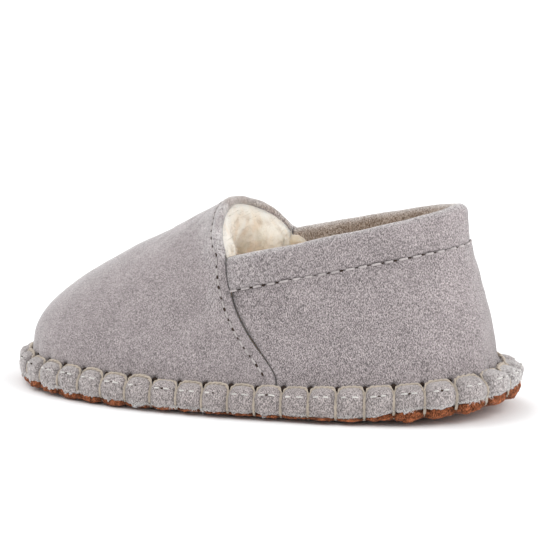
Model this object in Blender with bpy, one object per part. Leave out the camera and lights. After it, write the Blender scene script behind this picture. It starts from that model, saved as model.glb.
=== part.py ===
"""Baby moccasin in suede and sheepskin, left foot: a lapped vamp, a bound collar and a puffed rand.

Sizes are in millimetres and become metres where a mesh is made. The toe points to -X, the heel
to +X, the outer side of the foot to -Y, and the floor is Z = 0.

A place round the shoe is a number u: 0 at the toe, 1 at the heel along the outer side, and on to 2
at the toe again along the inner side. A place up the wall is a share t: 0 at the rand, 1 at the top.
"""
from collections import namedtuple
from math import pi, radians

import bmesh
import bpy
import numpy as np

MM = 0.001
GAP = 0.3
TINY = 1e-9

# Outline of the last where the upper meets the rand: two half superellipses joined at the ball
BALL_X = -10.6
TOE_REACH = 49.8
HEEL_REACH = 68.7
BALL_HALF_WIDTH = 27.0
TOE_SQUARENESS = 2.27
HEEL_SQUARENESS = 2.46

# The forefoot swings to the inner side, from this X to the toe tip
SWING = 2.0
SWING_FROM_X = 7.7

# Height of the line where the upper meets the rand, and how far along the foot its ends rise
JOIN_HEIGHT = {"toe": 8.1, "side": 6.9, "heel": 10.2}
JOIN_RISE_SHARE = 0.5

# Toe spring and heel lift of the sole, and the share of the length that each end takes
TOE_SPRING = 0.9
HEEL_LIFT = 2.6
LIFT_SHARE = 0.29

# Top edge: throat crown on the centre line, corner where vamp and quarter meet, further back and
# higher on the inner side, and the back of the heel
SEAM_U = 0.6
THROAT_CROWN = {"x": -7.7, "z": 48.4}
SEAM_CORNER = {"x": -0.65, "y": 22.5, "z": 36.7}
SEAM_SKEW = 0.75
HEEL_TOP = {"x": 50.0, "z": 49.0}
THROAT_ROUNDNESS = 1.8
THROAT_SETBACK = 2.5
COLLAR_ROUNDNESS = 2.1
COLLAR_BOW = 0.4
INNER_CORNER_RISE = 1.0

# Wall sections, a row each: how far the curve rises from the rand, how much it leans outwards there,
# the length of its last stretch, and the angle at which that stretch meets the top edge
Section = namedtuple("Section", "rise bulge run arrival_deg")
SECTIONS = {
    "toe": Section(15.6, 0.26, 18.7, 33.3),
    "seam": Section(7.8, 0.11, 21.0, 85.0),
    "heel": Section(14.9, -0.07, 14.0, 83.8),
}

# Upper: wall, step of the vamp's edge over the quarter, and how far that step fades
WALL = 2.4
VAMP_EDGE_RAISE = 0.3
QUARTER_EDGE_SINK = 0.3
LAP_FADE_U = 0.05
LAP_STEP_U = 0.003
VAMP_COLUMNS = 32
QUARTER_COLUMNS = 26
WALL_ROWS = 6
LINING_SHARES = (0.67, 0.33, 0.0)

# Rim of the wall, a row each: length below the top edge and depth into the wall, as shares of half
# the wall's thickness there
RimPoint = namedtuple("RimPoint", "drop depth")
RIM = (
    RimPoint(1.0, 0.0),
    RimPoint(0.3, 0.3),
    RimPoint(0.0, 1.0),
    RimPoint(0.3, 1.7),
    RimPoint(1.0, 2.0),
)

# Collar band: a strip folded over the quarter's top edge
BAND_THICK = 1.0
BAND_PROUD = 0.2
BAND_WIDTH = {"seam": 8.0, "heel": 9.4}
BAND_END_U = 0.0055
BAND_COLUMNS = 30
REBATE_SLOPE = 0.8

# Section of the band, a row each: how far down it lies, as a share of the width plus a number of
# thicknesses, and how deep, as a number of thicknesses behind its outer face, crest or inner face
BandPoint = namedtuple("BandPoint", "width_share drop_thicks face depth_thicks")
BAND_SECTION = (
    BandPoint(1.0, 0.0, "outer", 1.0),
    BandPoint(1.0, 0.0, "outer", 0.3),
    BandPoint(1.0, -0.4, "outer", 0.0),
    BandPoint(0.5, 0.0, "outer", 0.0),
    BandPoint(0.0, 1.4, "outer", 0.0),
    BandPoint(0.0, 0.4, "outer", 0.6),
    BandPoint(0.0, 0.0, "crest", 0.0),
    BandPoint(0.0, 0.4, "inner", -0.6),
    BandPoint(0.0, 1.4, "inner", 0.0),
    BandPoint(0.5, 0.0, "inner", 0.0),
    BandPoint(1.0, 0.0, "inner", 0.0),
    BandPoint(1.0, 0.0, "inner", -1.0),
    BandPoint(0.5, 0.0, "inner", -1.0),
    BandPoint(0.0, 1.6, "inner", -1.0),
    BandPoint(0.0, 1.0, "crest", 0.0),
    BandPoint(0.0, 1.6, "outer", 1.0),
    BandPoint(0.5, 0.0, "outer", 1.0),
)

# Rand: puffs between the hand stitches on each side of the shoe, and how far they stand out; behind
# the ball the stitches lie alternately further on and further back than even steps
PUFFS_PER_SIDE = 22
PUFF_SAMPLES = 4
PUFF_FULLNESS = 0.5
PUFF_SHIFT_U = 0.01
PUFF_SHIFT_FROM_U = 0.25
RAND_REACH = {"toe": 4.1, "side": 4.1, "heel": 6.5}
RAND_CREST = {"toe": 0.1, "side": 0.55, "heel": 0.9}
GROOVE_SHARE = 0.22
GROOVE_DROP = 1.0
SOLE_RAMP = 1.25

# Section of the rand, a row each: reach as a share of the full reach, height as a share
RandPoint = namedtuple("RandPoint", "reach height")
RAND_SECTION = (
    RandPoint(0.0, 0.0),
    RandPoint(0.7, 0.0),
    RandPoint(0.95, 0.14),
    RandPoint(1.0, 0.42),
    RandPoint(0.93, 0.7),
    RandPoint(0.68, 0.93),
    RandPoint(0.34, 1.0),
    RandPoint(0.0, 0.82),
)

# Outsole: thickness, reach past the upper, scallops between the stitches, and the width of the
# margin over and under which its edge curls up
SOLE_THICK = 1.2
SOLE_REACH = {"toe": 3.6, "side": 3.6, "heel": 5.3}
SCALLOP = 0.6
SOLE_MARGIN = {"over": 2.8, "under": 4.6}
SOLE_SAMPLES = 4

# The sole's edge curls up a little along the side and is thicker at the toe and heel
CURL = {"toe": 0.2, "side": 0.8, "heel": 0.2}
EDGE_THICK = {"toe": 2.1, "side": 0.8, "heel": 2.8}
TOE_EDGE_U = (0.2, 0.5)
HEEL_EDGE_U = (0.74, 0.81)

# Section of the sole's edge, a row each: inset from the outline, height as a share of its thickness
EdgePoint = namedtuple("EdgePoint", "inset height")
SOLE_EDGE = (
    EdgePoint(0.5, 1.0),
    EdgePoint(0.0, 0.65),
    EdgePoint(0.0, 0.35),
    EdgePoint(0.5, 0.0),
)

# Insole: sheepskin sock inside the wall
INSOLE_THICK = 3.0
INSOLE_COLUMNS = 60
INSOLE_EDGE = (
    EdgePoint(0.0, 0.7),
    EdgePoint(0.0, 0.3),
)

# The inside of a plate is drawn in towards a line between these two points on the centre line
SPINE = {"toe_x": -38.0, "heel_x": 36.0}
PLATE_RINGS = (0.0, 0.5, 1.0)

SHARP_ANGLE = radians(50)

GREY_SUEDE = (0.40, 0.375, 0.365, 1.0)
DARK_SUEDE = (0.36, 0.335, 0.325, 1.0)
RUST_SUEDE = (0.33, 0.10, 0.03, 1.0)
CREAM_WOOL = (0.80, 0.72, 0.58, 1.0)


def half_outline():
    """Even samples of the half outline by length: x and half width, toe to heel."""
    angle = np.linspace(0, pi, 2001)
    ahead = np.cos(angle) > 0
    square = np.where(ahead, TOE_SQUARENESS, HEEL_SQUARENESS)
    reach = np.where(ahead, TOE_REACH, HEEL_REACH)
    x = BALL_X - np.sign(np.cos(angle)) * reach * np.abs(np.cos(angle)) ** (2 / square)
    y = BALL_HALF_WIDTH * np.abs(np.sin(angle)) ** (2 / square)
    length = np.concatenate([[0], np.cumsum(np.hypot(np.diff(x), np.diff(y)))])
    even = np.linspace(0, length[-1], angle.size)
    return np.interp(even, length, x), np.interp(even, length, y)


OUTLINE_X, OUTLINE_Y = half_outline()
TOE_X = OUTLINE_X[0]
FOOT_LENGTH = OUTLINE_X[-1] - TOE_X


def half_place(u):
    """Share of the half outline, 0 at the toe and 1 at the heel, and the side: -1 outer, 1 inner."""
    turn = np.mod(u, 2)
    return np.where(turn > 1, 2 - turn, turn), np.where(turn > 1, 1.0, -1.0)


def blend_ends(u, at_toe, at_side, at_heel):
    """Smooth blend round the shoe, level at the toe, the middle of the side and the heel."""
    share, _ = half_place(u)
    ahead = np.cos(pi / 2 * np.clip(share / SEAM_U, 0, 1)) ** 2
    behind = np.sin(pi / 2 * np.clip((share - SEAM_U) / (1 - SEAM_U), 0, 1)) ** 2
    return at_side + (at_toe - at_side) * ahead + (at_heel - at_side) * behind


def end_rise(x, toe, heel, end_share):
    """Height gained towards the two ends: a parabola over the given share of the length at each end."""
    along = (x - TOE_X) / FOOT_LENGTH
    near_toe = np.clip(1 - along / end_share, 0, None)
    near_heel = np.clip(1 - (1 - along) / end_share, 0, None)
    return toe * near_toe ** 2 + heel * near_heel ** 2


def sole_lift(x):
    """Height of the underside of the sole above the floor."""
    return end_rise(x, TOE_SPRING, HEEL_LIFT, LIFT_SHARE)


def smooth_step(value, start, end):
    """0 up to start, 1 from end on, level at both."""
    share = np.clip((value - start) / (end - start), 0, 1)
    return share * share * (3 - 2 * share)


def sole_edge_heights(u):
    """Lowest and highest line of the sole's edge above the underside of the sole."""
    share, _ = half_place(u)
    ahead = 1 - smooth_step(share, *TOE_EDGE_U)
    behind = smooth_step(share, *HEEL_EDGE_U)
    low = CURL["side"] + (CURL["toe"] - CURL["side"]) * ahead + (CURL["heel"] - CURL["side"]) * behind
    side = EDGE_THICK["side"]
    thick = side + (EDGE_THICK["toe"] - side) * ahead + (EDGE_THICK["heel"] - side) * behind
    return low, low + thick


def join_line(u):
    """Points of the line where the upper meets the rand."""
    share, side = half_place(u)
    place = np.linspace(0, 1, OUTLINE_X.size)
    x = np.interp(share, place, OUTLINE_X)
    y = side * np.interp(share, place, OUTLINE_Y)
    toe_rise = JOIN_HEIGHT["toe"] - JOIN_HEIGHT["side"]
    heel_rise = JOIN_HEIGHT["heel"] - JOIN_HEIGHT["side"]
    z = JOIN_HEIGHT["side"] + end_rise(x, toe_rise, heel_rise, JOIN_RISE_SHARE)
    return np.stack([x, y, z], axis=-1)


def outward(u):
    """Level unit normals of the outline, pointing out of the shoe."""
    step = 0.002
    along = join_line(u + step) - join_line(u - step)
    normal = np.stack([along[..., 1], -along[..., 0], 0 * along[..., 0]], axis=-1)
    return normal / np.linalg.norm(normal, axis=-1, keepdims=True)


def top_edge(u):
    """Points of the top edge: the throat's arch as far as the seam, then the collar to the heel."""
    share, side = half_place(u)
    arch = pi / 2 * np.clip(share / SEAM_U, 0, 1)
    corner = SEAM_CORNER
    corner_x = corner["x"] + SEAM_SKEW * side
    x_arch = corner_x + (THROAT_CROWN["x"] - corner_x) * np.cos(arch) ** (2 / THROAT_SETBACK)
    corner_z = corner["z"] + np.where(side > 0, INNER_CORNER_RISE, 0.0)
    y_arch = corner["y"] * np.sin(arch) ** (2 / THROAT_ROUNDNESS)
    z_arch = corner_z + (THROAT_CROWN["z"] - corner_z) * np.cos(arch) ** (2 / THROAT_ROUNDNESS)
    turn = pi / 2 * np.clip((share - SEAM_U) / (1 - SEAM_U), 0, 1)
    back = np.sin(turn) ** (2 / COLLAR_ROUNDNESS)
    x_collar = corner_x + (HEEL_TOP["x"] - corner_x) * back
    width = corner["y"] + COLLAR_BOW * np.sin(pi * back)
    y_collar = width * np.clip(np.cos(turn), 0, 1) ** (2 / COLLAR_ROUNDNESS)
    z_collar = corner_z + (HEEL_TOP["z"] - corner_z) * back
    vamp = share <= SEAM_U + TINY
    x = np.where(vamp, x_arch, x_collar)
    y = side * np.where(vamp, y_arch, y_collar)
    return np.stack([x, y, np.where(vamp, z_arch, z_collar)], axis=-1)


def skin(u, t):
    """Outer face of the upper: a cubic curve from the rand to the top edge, in an upright plane."""
    u, t = np.broadcast_arrays(u, t)
    foot = join_line(u)
    top = top_edge(u)
    up = np.array([0.0, 0.0, 1.0])
    inwards = (top - foot) * (1, 1, 0)
    inwards = inwards / np.linalg.norm(inwards, axis=-1, keepdims=True)
    columns = zip(SECTIONS["toe"], SECTIONS["seam"], SECTIONS["heel"])
    section = Section(*(blend_ends(u, *column)[..., None] for column in columns))
    arrival = np.radians(section.arrival_deg)
    leave = foot + section.rise * (up - section.bulge * inwards)
    arrive = top - section.run * (np.cos(arrival) * inwards + np.sin(arrival) * up)
    t = t[..., None]
    rest = 1 - t
    return rest ** 3 * foot + 3 * rest ** 2 * t * leave + 3 * rest * t ** 2 * arrive + t ** 3 * top


def panel_of(u):
    """First and last place of the panel, vamp or quarter, that each place belongs to."""
    vamp = half_place(u)[0] <= SEAM_U + TINY
    turn = np.mod(u, 2)
    start = np.where(vamp, np.where(turn > 1, 2 - SEAM_U, -SEAM_U), SEAM_U)
    end = np.where(vamp, np.where(turn > 1, 2 + SEAM_U, SEAM_U), 2 - SEAM_U)
    return start, end


def wall_point(u, t, depth):
    """Point at a depth behind the upper's outer face, measured square to it."""
    u, t, depth = np.broadcast_arrays(np.mod(u, 2), t, depth)
    step = 0.004
    start, end = panel_of(u)
    along = skin(np.clip(u + step, start, end), t) - skin(np.clip(u - step, start, end), t)
    rising = skin(u, np.clip(t + step, 0, 1)) - skin(u, np.clip(t - step, 0, 1))
    normal = np.cross(along, rising)
    normal = normal / np.linalg.norm(normal, axis=-1, keepdims=True)
    return skin(u, t) - depth[..., None] * normal


def share_below_top(u, drop):
    """Share t of the places that lie a length below the top edge, measured along the wall."""
    shares = np.linspace(0, 1, 121)
    found = []
    for place, length in zip(*np.broadcast_arrays(u, drop)):
        curve = skin(place, shares)
        run = np.concatenate([[0], np.cumsum(np.linalg.norm(np.diff(curve, axis=0), axis=1))])
        found.append(np.interp(run[-1] - length, run, shares))
    return np.array(found)


def band_width(u):
    """Width of the collar band down the wall."""
    return blend_ends(u, BAND_WIDTH["seam"], BAND_WIDTH["seam"], BAND_WIDTH["heel"])


def puff_count(u):
    """Number of puffs passed since the toe's half puff or, on the inner side, left to it."""
    share, _ = half_place(u)
    late = np.clip((share - PUFF_SHIFT_FROM_U) / (1 - PUFF_SHIFT_FROM_U), 0, 1)
    return 0.5 + PUFFS_PER_SIDE * (share - PUFF_SHIFT_U * np.sin(2 * pi * late))


def puff_places(samples):
    """Places round the whole shoe, with the same number of samples in each puff."""
    fine = np.linspace(0, 1, 4001)
    counts = 0.5 + np.arange(PUFFS_PER_SIDE * samples + 1) / samples
    outer = np.interp(counts, puff_count(fine), fine)
    return np.concatenate([outer, 2 - outer[-2:0:-1]])


def puff_swell(u):
    """Swell of a puff: 0 in the groove under a stitch and 1 halfway between two stitches."""
    return np.abs(np.sin(pi * puff_count(u))) ** PUFF_FULLNESS


def swung(points):
    """The points with the forefoot bent to the inner side."""
    share = np.clip((SWING_FROM_X - points[..., 0]) / (SWING_FROM_X - TOE_X), 0, None)
    bent = points.copy()
    bent[..., 1] += SWING * share ** 2
    return bent


def suede(name, colour, roughness):
    """A matt material of one colour."""
    material = bpy.data.materials.new(name)
    material.use_nodes = True
    shader = material.node_tree.nodes["Principled BSDF"]
    shader.inputs["Base Color"].default_value = colour
    shader.inputs["Roughness"].default_value = roughness
    shader.inputs["Metallic"].default_value = 0.0
    return material


def add_solid(name, rings, material, parent, round_ends=True, closed=False, capped=False):
    """One closed mesh through rings of points.

    round_ends joins the last point of a ring to its first, closed joins the last ring to the first,
    and capped fills the first and last ring.
    """
    mesh = bpy.data.meshes.new(name)
    body = bpy.data.objects.new(name, mesh)
    bpy.context.scene.collection.objects.link(body)
    body.parent = parent
    shape = bmesh.new()
    rows = [[shape.verts.new(point * MM) for point in swung(ring)] for ring in rings]
    pairs = list(zip(rows, rows[1:]))
    if closed:
        pairs.append((rows[-1], rows[0]))
    for lower, upper in pairs:
        count = len(lower)
        for here in range(count if round_ends else count - 1):
            there = (here + 1) % count
            shape.faces.new((lower[here], lower[there], upper[there], upper[here]))
    if capped:
        shape.faces.new(rows[0])
        shape.faces.new(rows[-1])
    bmesh.ops.remove_doubles(shape, verts=shape.verts, dist=0.001 * MM)
    bmesh.ops.recalc_face_normals(shape, faces=shape.faces)
    shape.to_mesh(mesh)
    shape.free()
    mesh.materials.append(material)
    mesh.shade_smooth()
    mesh.set_sharp_from_angle(angle=SHARP_ANGLE)
    return body


def add_upper(parent):
    """Vamp and quarter as one hollow wall, open at the top and underneath."""
    vamp = np.linspace(-SEAM_U, SEAM_U, VAMP_COLUMNS + 1)
    first = SEAM_U + LAP_STEP_U
    quarter = np.linspace(first, 2 - first, QUARTER_COLUMNS + 1)
    u = np.concatenate([vamp, quarter])
    on_vamp = np.arange(u.size) < vamp.size
    from_seam = np.abs(half_place(u)[0] - SEAM_U)
    lap = np.exp(-from_seam / LAP_FADE_U)
    face = np.where(on_vamp, -VAMP_EDGE_RAISE * lap, QUARTER_EDGE_SINK * lap)
    rebate = np.where(on_vamp, face, BAND_THICK + GAP - BAND_PROUD)
    crest = np.where(on_vamp, 0.0, BAND_THICK + GAP)
    half = (WALL - rebate) / 2
    width = band_width(u)
    under_band = share_below_top(u, width)
    middle = share_below_top(u, width / 2)
    foot_z = sole_lift(join_line(u)[:, 0]) + SOLE_THICK + GAP

    def foot_ring(depth):
        ring = wall_point(u, 0, depth)
        ring[:, 2] = foot_z
        return ring

    rings = [foot_ring(0.0)]
    for row in range(WALL_ROWS + 1):
        share = row / WALL_ROWS
        rings.append(wall_point(u, under_band * share, face * share))
    rings.append(wall_point(u, share_below_top(u, width - REBATE_SLOPE), rebate))
    rings.append(wall_point(u, middle, rebate))
    for point in RIM:
        share = share_below_top(u, crest + point.drop * half)
        rings.append(wall_point(u, share, rebate + point.depth * half))
    rings.append(wall_point(u, middle, WALL))
    rings.append(wall_point(u, under_band, WALL))
    for share in LINING_SHARES:
        rings.append(wall_point(u, under_band * share, WALL))
    rings.append(foot_ring(WALL))
    return add_solid("upper", rings, suede("upper_suede", GREY_SUEDE, 0.95), parent, closed=True)


def add_collar_band(parent):
    """Strip of suede folded over the quarter's top edge, a U in section, open at its two ends."""
    first = SEAM_U + BAND_END_U
    u = np.linspace(first, 2 - first, BAND_COLUMNS + 1)
    width = band_width(u) - REBATE_SLOPE - GAP
    outer = -BAND_PROUD
    inner = WALL + GAP + BAND_THICK
    faces = {"outer": outer, "crest": (outer + inner) / 2, "inner": inner}
    lines = []
    for point in BAND_SECTION:
        drop = point.width_share * width + point.drop_thicks * BAND_THICK
        depth = faces[point.face] + point.depth_thicks * BAND_THICK
        lines.append(wall_point(u, share_below_top(u, drop), depth))
    rings = np.stack(lines, axis=1)
    return add_solid("collar_band", rings, suede("band_suede", DARK_SUEDE, 0.95), parent, capped=True)


def add_rand(parent):
    """Strip sewn round the foot of the upper, swollen between the stitches."""
    u = puff_places(PUFF_SAMPLES)
    line = join_line(u)
    out = outward(u)
    swell = puff_swell(u)
    reach = blend_ends(u, RAND_REACH["toe"], RAND_REACH["side"], RAND_REACH["heel"])
    reach = reach * (1 - GROOVE_SHARE * (1 - swell))
    crest = blend_ends(u, RAND_CREST["toe"], RAND_CREST["side"], RAND_CREST["heel"])
    high = line[:, 2] + crest - GROOVE_DROP * (1 - swell)
    edge_high = sole_edge_heights(u)[1]
    rings = []
    for point in RAND_SECTION:
        ring = line + (GAP + point.reach * (reach - GAP))[:, None] * out
        ramp = min(SOLE_RAMP * point.reach, 1.0)
        low = sole_lift(ring[:, 0]) + SOLE_THICK + ramp * (edge_high - SOLE_THICK) + GAP
        ring[:, 2] = low + point.height * (high - low)
        rings.append(ring)
    return add_solid("rand", rings, suede("rand_suede", GREY_SUEDE, 0.95), parent, closed=True)


def face_rings(outline, height):
    """Rings of a flat face that follows the sole, from the line along its middle out to an outline."""
    spine = outline * (1, 0, 0)
    spine[:, 0] = np.clip(spine[:, 0], SPINE["toe_x"], SPINE["heel_x"])
    rings = []
    for share in PLATE_RINGS:
        ring = spine + share * (outline - spine)
        ring[:, 2] = sole_lift(ring[:, 0]) + height
        rings.append(ring)
    return rings


def edge_ring(u, reach, height):
    """Ring at a reach outside the upper's outline and a height above the underside of the sole."""
    ring = join_line(u) + reach[:, None] * outward(u)
    ring[:, 2] = sole_lift(ring[:, 0]) + height
    return ring


def add_outsole(parent):
    """Flat suede sole, lifted at the toe and heel, its edge scalloped between the stitches."""
    u = puff_places(SOLE_SAMPLES)
    reach = blend_ends(u, SOLE_REACH["toe"], SOLE_REACH["side"], SOLE_REACH["heel"])
    scalloped = reach - SCALLOP * (1 - puff_swell(u))
    low, high = sole_edge_heights(u)
    edge = [edge_ring(u, scalloped - point.inset, low + point.height * (high - low)) for point in SOLE_EDGE]
    over = face_rings(edge_ring(u, reach - SOLE_MARGIN["over"], 0.0), SOLE_THICK)
    under = face_rings(edge_ring(u, reach - SOLE_MARGIN["under"], 0.0), 0.0)
    rings = over + edge + under[::-1]
    return add_solid("outsole", rings, suede("sole_suede", RUST_SUEDE, 0.9), parent)


def add_insole(parent):
    """Sheepskin sock that lies on the sole inside the wall."""
    u = np.linspace(0, 2, INSOLE_COLUMNS, endpoint=False)
    base = SOLE_THICK + GAP
    inset = np.full(u.size, -WALL - 2 * GAP)
    edge = [edge_ring(u, inset - point.inset, base + point.height * INSOLE_THICK) for point in INSOLE_EDGE]
    inner = edge_ring(u, inset - INSOLE_THICK / 2, 0.0)
    rings = face_rings(inner, base + INSOLE_THICK) + edge + face_rings(inner, base)[::-1]
    return add_solid("insole", rings, suede("sock_wool", CREAM_WOOL, 1.0), parent)


def main():
    for old in list(bpy.data.objects):
        bpy.data.objects.remove(old, do_unlink=True)
    shoe = bpy.data.objects.new("moccasin", None)
    bpy.context.scene.collection.objects.link(shoe)
    add_outsole(shoe)
    add_insole(shoe)
    add_upper(shoe)
    add_rand(shoe)
    add_collar_band(shoe)


main()
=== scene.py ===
"""Finish of a baby moccasin: suede, puffed rand, hand sewing, sheepskin and a studio stage.

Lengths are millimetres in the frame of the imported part: toe to -X, heel to +X, outer side to -Y, floor at
Z = 0. A place round the shoe is a number u: 0 at the toe, 1 at the heel along the outer side and 2 at the toe
again along the inner side. A place up the wall is a share t, 0 at the rand and 1 at the top edge, or a drop,
the length down the wall from the top edge. A depth is measured square to the wall, from its outer face in.
"""

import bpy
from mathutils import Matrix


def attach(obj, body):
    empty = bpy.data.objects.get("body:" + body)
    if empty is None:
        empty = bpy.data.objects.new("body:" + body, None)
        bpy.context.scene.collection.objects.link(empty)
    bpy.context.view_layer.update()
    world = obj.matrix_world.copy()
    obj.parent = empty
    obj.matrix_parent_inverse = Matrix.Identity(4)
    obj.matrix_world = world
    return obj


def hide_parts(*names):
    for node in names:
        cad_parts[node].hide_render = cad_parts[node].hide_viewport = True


bl_info = {
    "name": "Baby Moccasin Finish",
    "version": (1, 0, 0),
    "blender": (4, 5, 0),
    "location": "3D View > Sidebar > Moccasin",
    "description": "Builds the suede, sewing, sheepskin and stage round the packed moccasin",
    "category": "Object",
}

from collections import namedtuple
from math import pi, radians

import bmesh
import bpy
import numpy as np
from bpy.props import FloatProperty, FloatVectorProperty, IntProperty, PointerProperty
from mathutils import Vector

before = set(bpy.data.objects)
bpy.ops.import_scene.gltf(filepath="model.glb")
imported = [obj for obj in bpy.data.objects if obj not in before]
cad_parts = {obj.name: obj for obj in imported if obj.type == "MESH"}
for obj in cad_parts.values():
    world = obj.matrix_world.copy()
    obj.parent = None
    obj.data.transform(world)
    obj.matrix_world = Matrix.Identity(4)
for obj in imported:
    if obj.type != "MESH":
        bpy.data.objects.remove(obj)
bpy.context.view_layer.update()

MM = 0.001
GAP = 0.3
TINY = 1e-9
MERGE_DISTANCE = 0.0005
UP = np.array([0.0, 0.0, 1.0])

Ends = namedtuple("Ends", "toe side heel")
Spot = namedtuple("Spot", "x y z")
Grid = namedtuple("Grid", "rows columns")

# Outline of the last where the upper meets the rand: two half superellipses joined at the ball
BALL_X = -10.6
TOE_REACH = 49.8
HEEL_REACH = 68.7
BALL_HALF_WIDTH = 27.0
TOE_SQUARENESS = 2.27
HEEL_SQUARENESS = 2.46
OUTLINE_ARC = 144.0
SWING = 2.0
SWING_FROM_X = 7.7

# Heights of the join between upper and rand, and the lift of the sole at its ends
JOIN_HEIGHT = Ends(8.1, 6.9, 10.2)
JOIN_RISE_SHARE = 0.5
TOE_SPRING = 0.9
HEEL_LIFT = 2.6
LIFT_SHARE = 0.29

# Top edge: throat crown, corner where vamp and quarter meet, further back and higher on the inner side,
# and the back of the heel
SEAM_U = 0.6
THROAT_CROWN = Spot(-7.7, 0.0, 48.4)
SEAM_CORNER = Spot(-0.65, 22.5, 36.7)
SEAM_SKEW = 0.75
HEEL_TOP = Spot(50.0, 0.0, 49.0)
THROAT_ROUNDNESS = 1.8
THROAT_SETBACK = 2.5
COLLAR_ROUNDNESS = 2.1
COLLAR_BOW = 0.4
INNER_CORNER_RISE = 1.0

Section = namedtuple("Section", "rise bulge run arrival_deg")
SECTIONS = Ends(
    toe=Section(15.6, 0.26, 18.7, 33.3),
    side=Section(7.8, 0.11, 21.0, 85.0),
    heel=Section(14.9, -0.07, 14.0, 83.8),
)

# Wall of the upper and the step where the vamp laps over the quarter
WALL = 2.4
VAMP_EDGE_RAISE = 0.24
QUARTER_EDGE_SINK = 0.22
LAP_FADE_U = 0.05
LAP_STEP_U = 0.003
LAP_POWER = 0.3
ROLL = 1.15
RAW_EDGE = 0.3
THIN_EDGE = {"share": 0.68, "outer": 7.0, "inner": 3.0}
SEAM_NEAR_U = 0.14

# Columns crowded at the seam, in steps of LAP_STEP_U: the vamp's last ones and the quarter's start are
# counted from the seam, the quarter's next ones and the start of its even ones from its own start
VAMP_EDGE_COLUMNS = (0.6, 0.3, 0.12, 0.0)
QUARTER_START = 0.4
QUARTER_EDGE_COLUMNS = (0.0, 0.3, 0.8)
QUARTER_EVEN_FROM = 1.5

# Collar band, and the step in the quarter behind its hem
BAND_THICK = 1.0
BAND_PROUD = 0.2
BAND_WIDTH = Ends(8.0, 8.0, 9.4)
BAND_SHORT = 0.2
BAND_END_U = 0.0012
BAND_HEM = 0.6
BAND_HEM_LEAST = 0.02
STEP_ABOVE_HEM = (0.35, 0.8)
STEP_DEPTH = 0.75

# Rand: puffs between the hand stitches, and its section as shares of reach and height
PUFFS_PER_SIDE = 22
PUFF_FULLNESS = 0.5
PUFF_SHIFT_U = 0.003
PUFF_SHIFT_FROM_U = 0.25
PUFF_LENGTH = 6.5
PUFF_CROWD = 0.6
PUFF_LUCK = 0.3
RAND_REACH = Ends(4.1, 4.1, 6.5)
RAND_CREST = Ends(0.1, 0.55, 0.9)
RAND_OVERHANG = Ends(1.4, 0.45, 0.3)
GROOVE_SHARE = 0.26
GROOVE_DROP = 0.8
NOTCH_DROP = 0.9
NOTCH_WIDTH = 0.6
SOLE_RAMP = 1.25
RAND_FACE_GAIN = 2
RAND_FACE_OFFSET = 0.6
RandPoint = namedtuple("RandPoint", "reach height")
RAND_SECTION = (
    RandPoint(0.0, 0.0),
    RandPoint(0.35, 0.0),
    RandPoint(0.72, 0.0),
    RandPoint(0.95, 0.13),
    RandPoint(1.0, 0.42),
    RandPoint(0.95, 0.7),
    RandPoint(0.75, 0.91),
    RandPoint(0.4, 1.0),
    RandPoint(0.1, 1.0),
    RandPoint(-0.06, 0.86),
    RandPoint(-0.03, 0.4),
)

# Outsole and insole, with the ends of the line along their middle and the rings at shares out from it
SOLE_THICK = 1.2
SOLE_REACH = Ends(3.6, 3.6, 5.3)
SCALLOP = 0.6
SCALLOP_LUCK = 0.4
SOLE_FULLNESS = 0.7
SOLE_ROUND = 0.9
SOLE_PINCH = {"low": 0.28, "high": 0.22, "luck": 0.12}
SOLE_MARGIN = {"over": 2.8, "under": 4.6}
CURL = Ends(0.2, 0.8, 0.2)
EDGE_THICK = Ends(2.1, 0.8, 2.8)
TOE_EDGE_U = (0.2, 0.5)
HEEL_EDGE_U = (0.74, 0.81)
FLOOR_CLEAR = 0.05
SOLE_RINGS = {"over": (0.0, 0.5, 1.0), "under": (1.0, 0.66, 0.33, 0.0)}
INSOLE_THICK = 3.0
SOCK_SINK = 0.35
SOCK_RIM = (0.7, 0.3)
SOCK_RINGS = (1.0, 0.5, 0.0)
SPINE_X = (-38.0, 36.0)

# Lining: depth of its pile and how much deeper it gets in the toe, its lip, and its clearance to the wall
PILE = 5.2
PILE_LEAST = 0.3
PILE_SWELL = 0.28
TOE_PILE = 6.0
TOE_PILE_U = (0.3, SEAM_U + 0.05)
SEAM_BLEND_U = (SEAM_U - 0.03, SEAM_U)
SEAM_BLEND_COLUMNS = 10
LIP_DROP = 0.6
LIP_SUNK = 0.5
LIP_OVER_BAND = 0.9
LIP_UNDER_BAND = 1.7
LIP_LINE = 1.7
UNDER_BAND_U = (SEAM_U + 0.002, SEAM_U + 0.04)
INNER_LIP_DROP = 0.7
INNER_LIP_U = (-0.1, 0.3)
LINING_GAP = 0.15
LINING_CROWD = 1.6
LUMPS_BELOW_LIP = (0.3, 4.0)
BELOW_SOCK = 1.0
LINING_BACK_FROM = 0.02

# Locks of wool: ranges of the draws for size, bend, winding and girth, shares of the lock's size, taper,
# depth of the root, and how the sock's locks differ
LOCK_SIZE = (0.6, 1.3)
LOCK_BEND = (0.5, 1.3)
LOCK_WINDING = (4.0, 9.0)
LOCK_GIRTH = (0.7, 1.25)
LOCK_STAND = 0.3
LOCK_DROOP = 0.45
LOCK_LEAN = 0.8
LOCK_CURL = 0.22
LOCK_LEAN_POWER = 1.6
LOCK_ROOT_GIRTH = 1.05
LOCK_TAPER = 0.75
LOCK_ROOT_DEPTH = 0.1
SOCK_LOCK_SHARE = 0.8
SOCK_LOCKS_ONE_IN = 3
SOCK_LOCK_ROOT_DEPTH = 0.5

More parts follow.
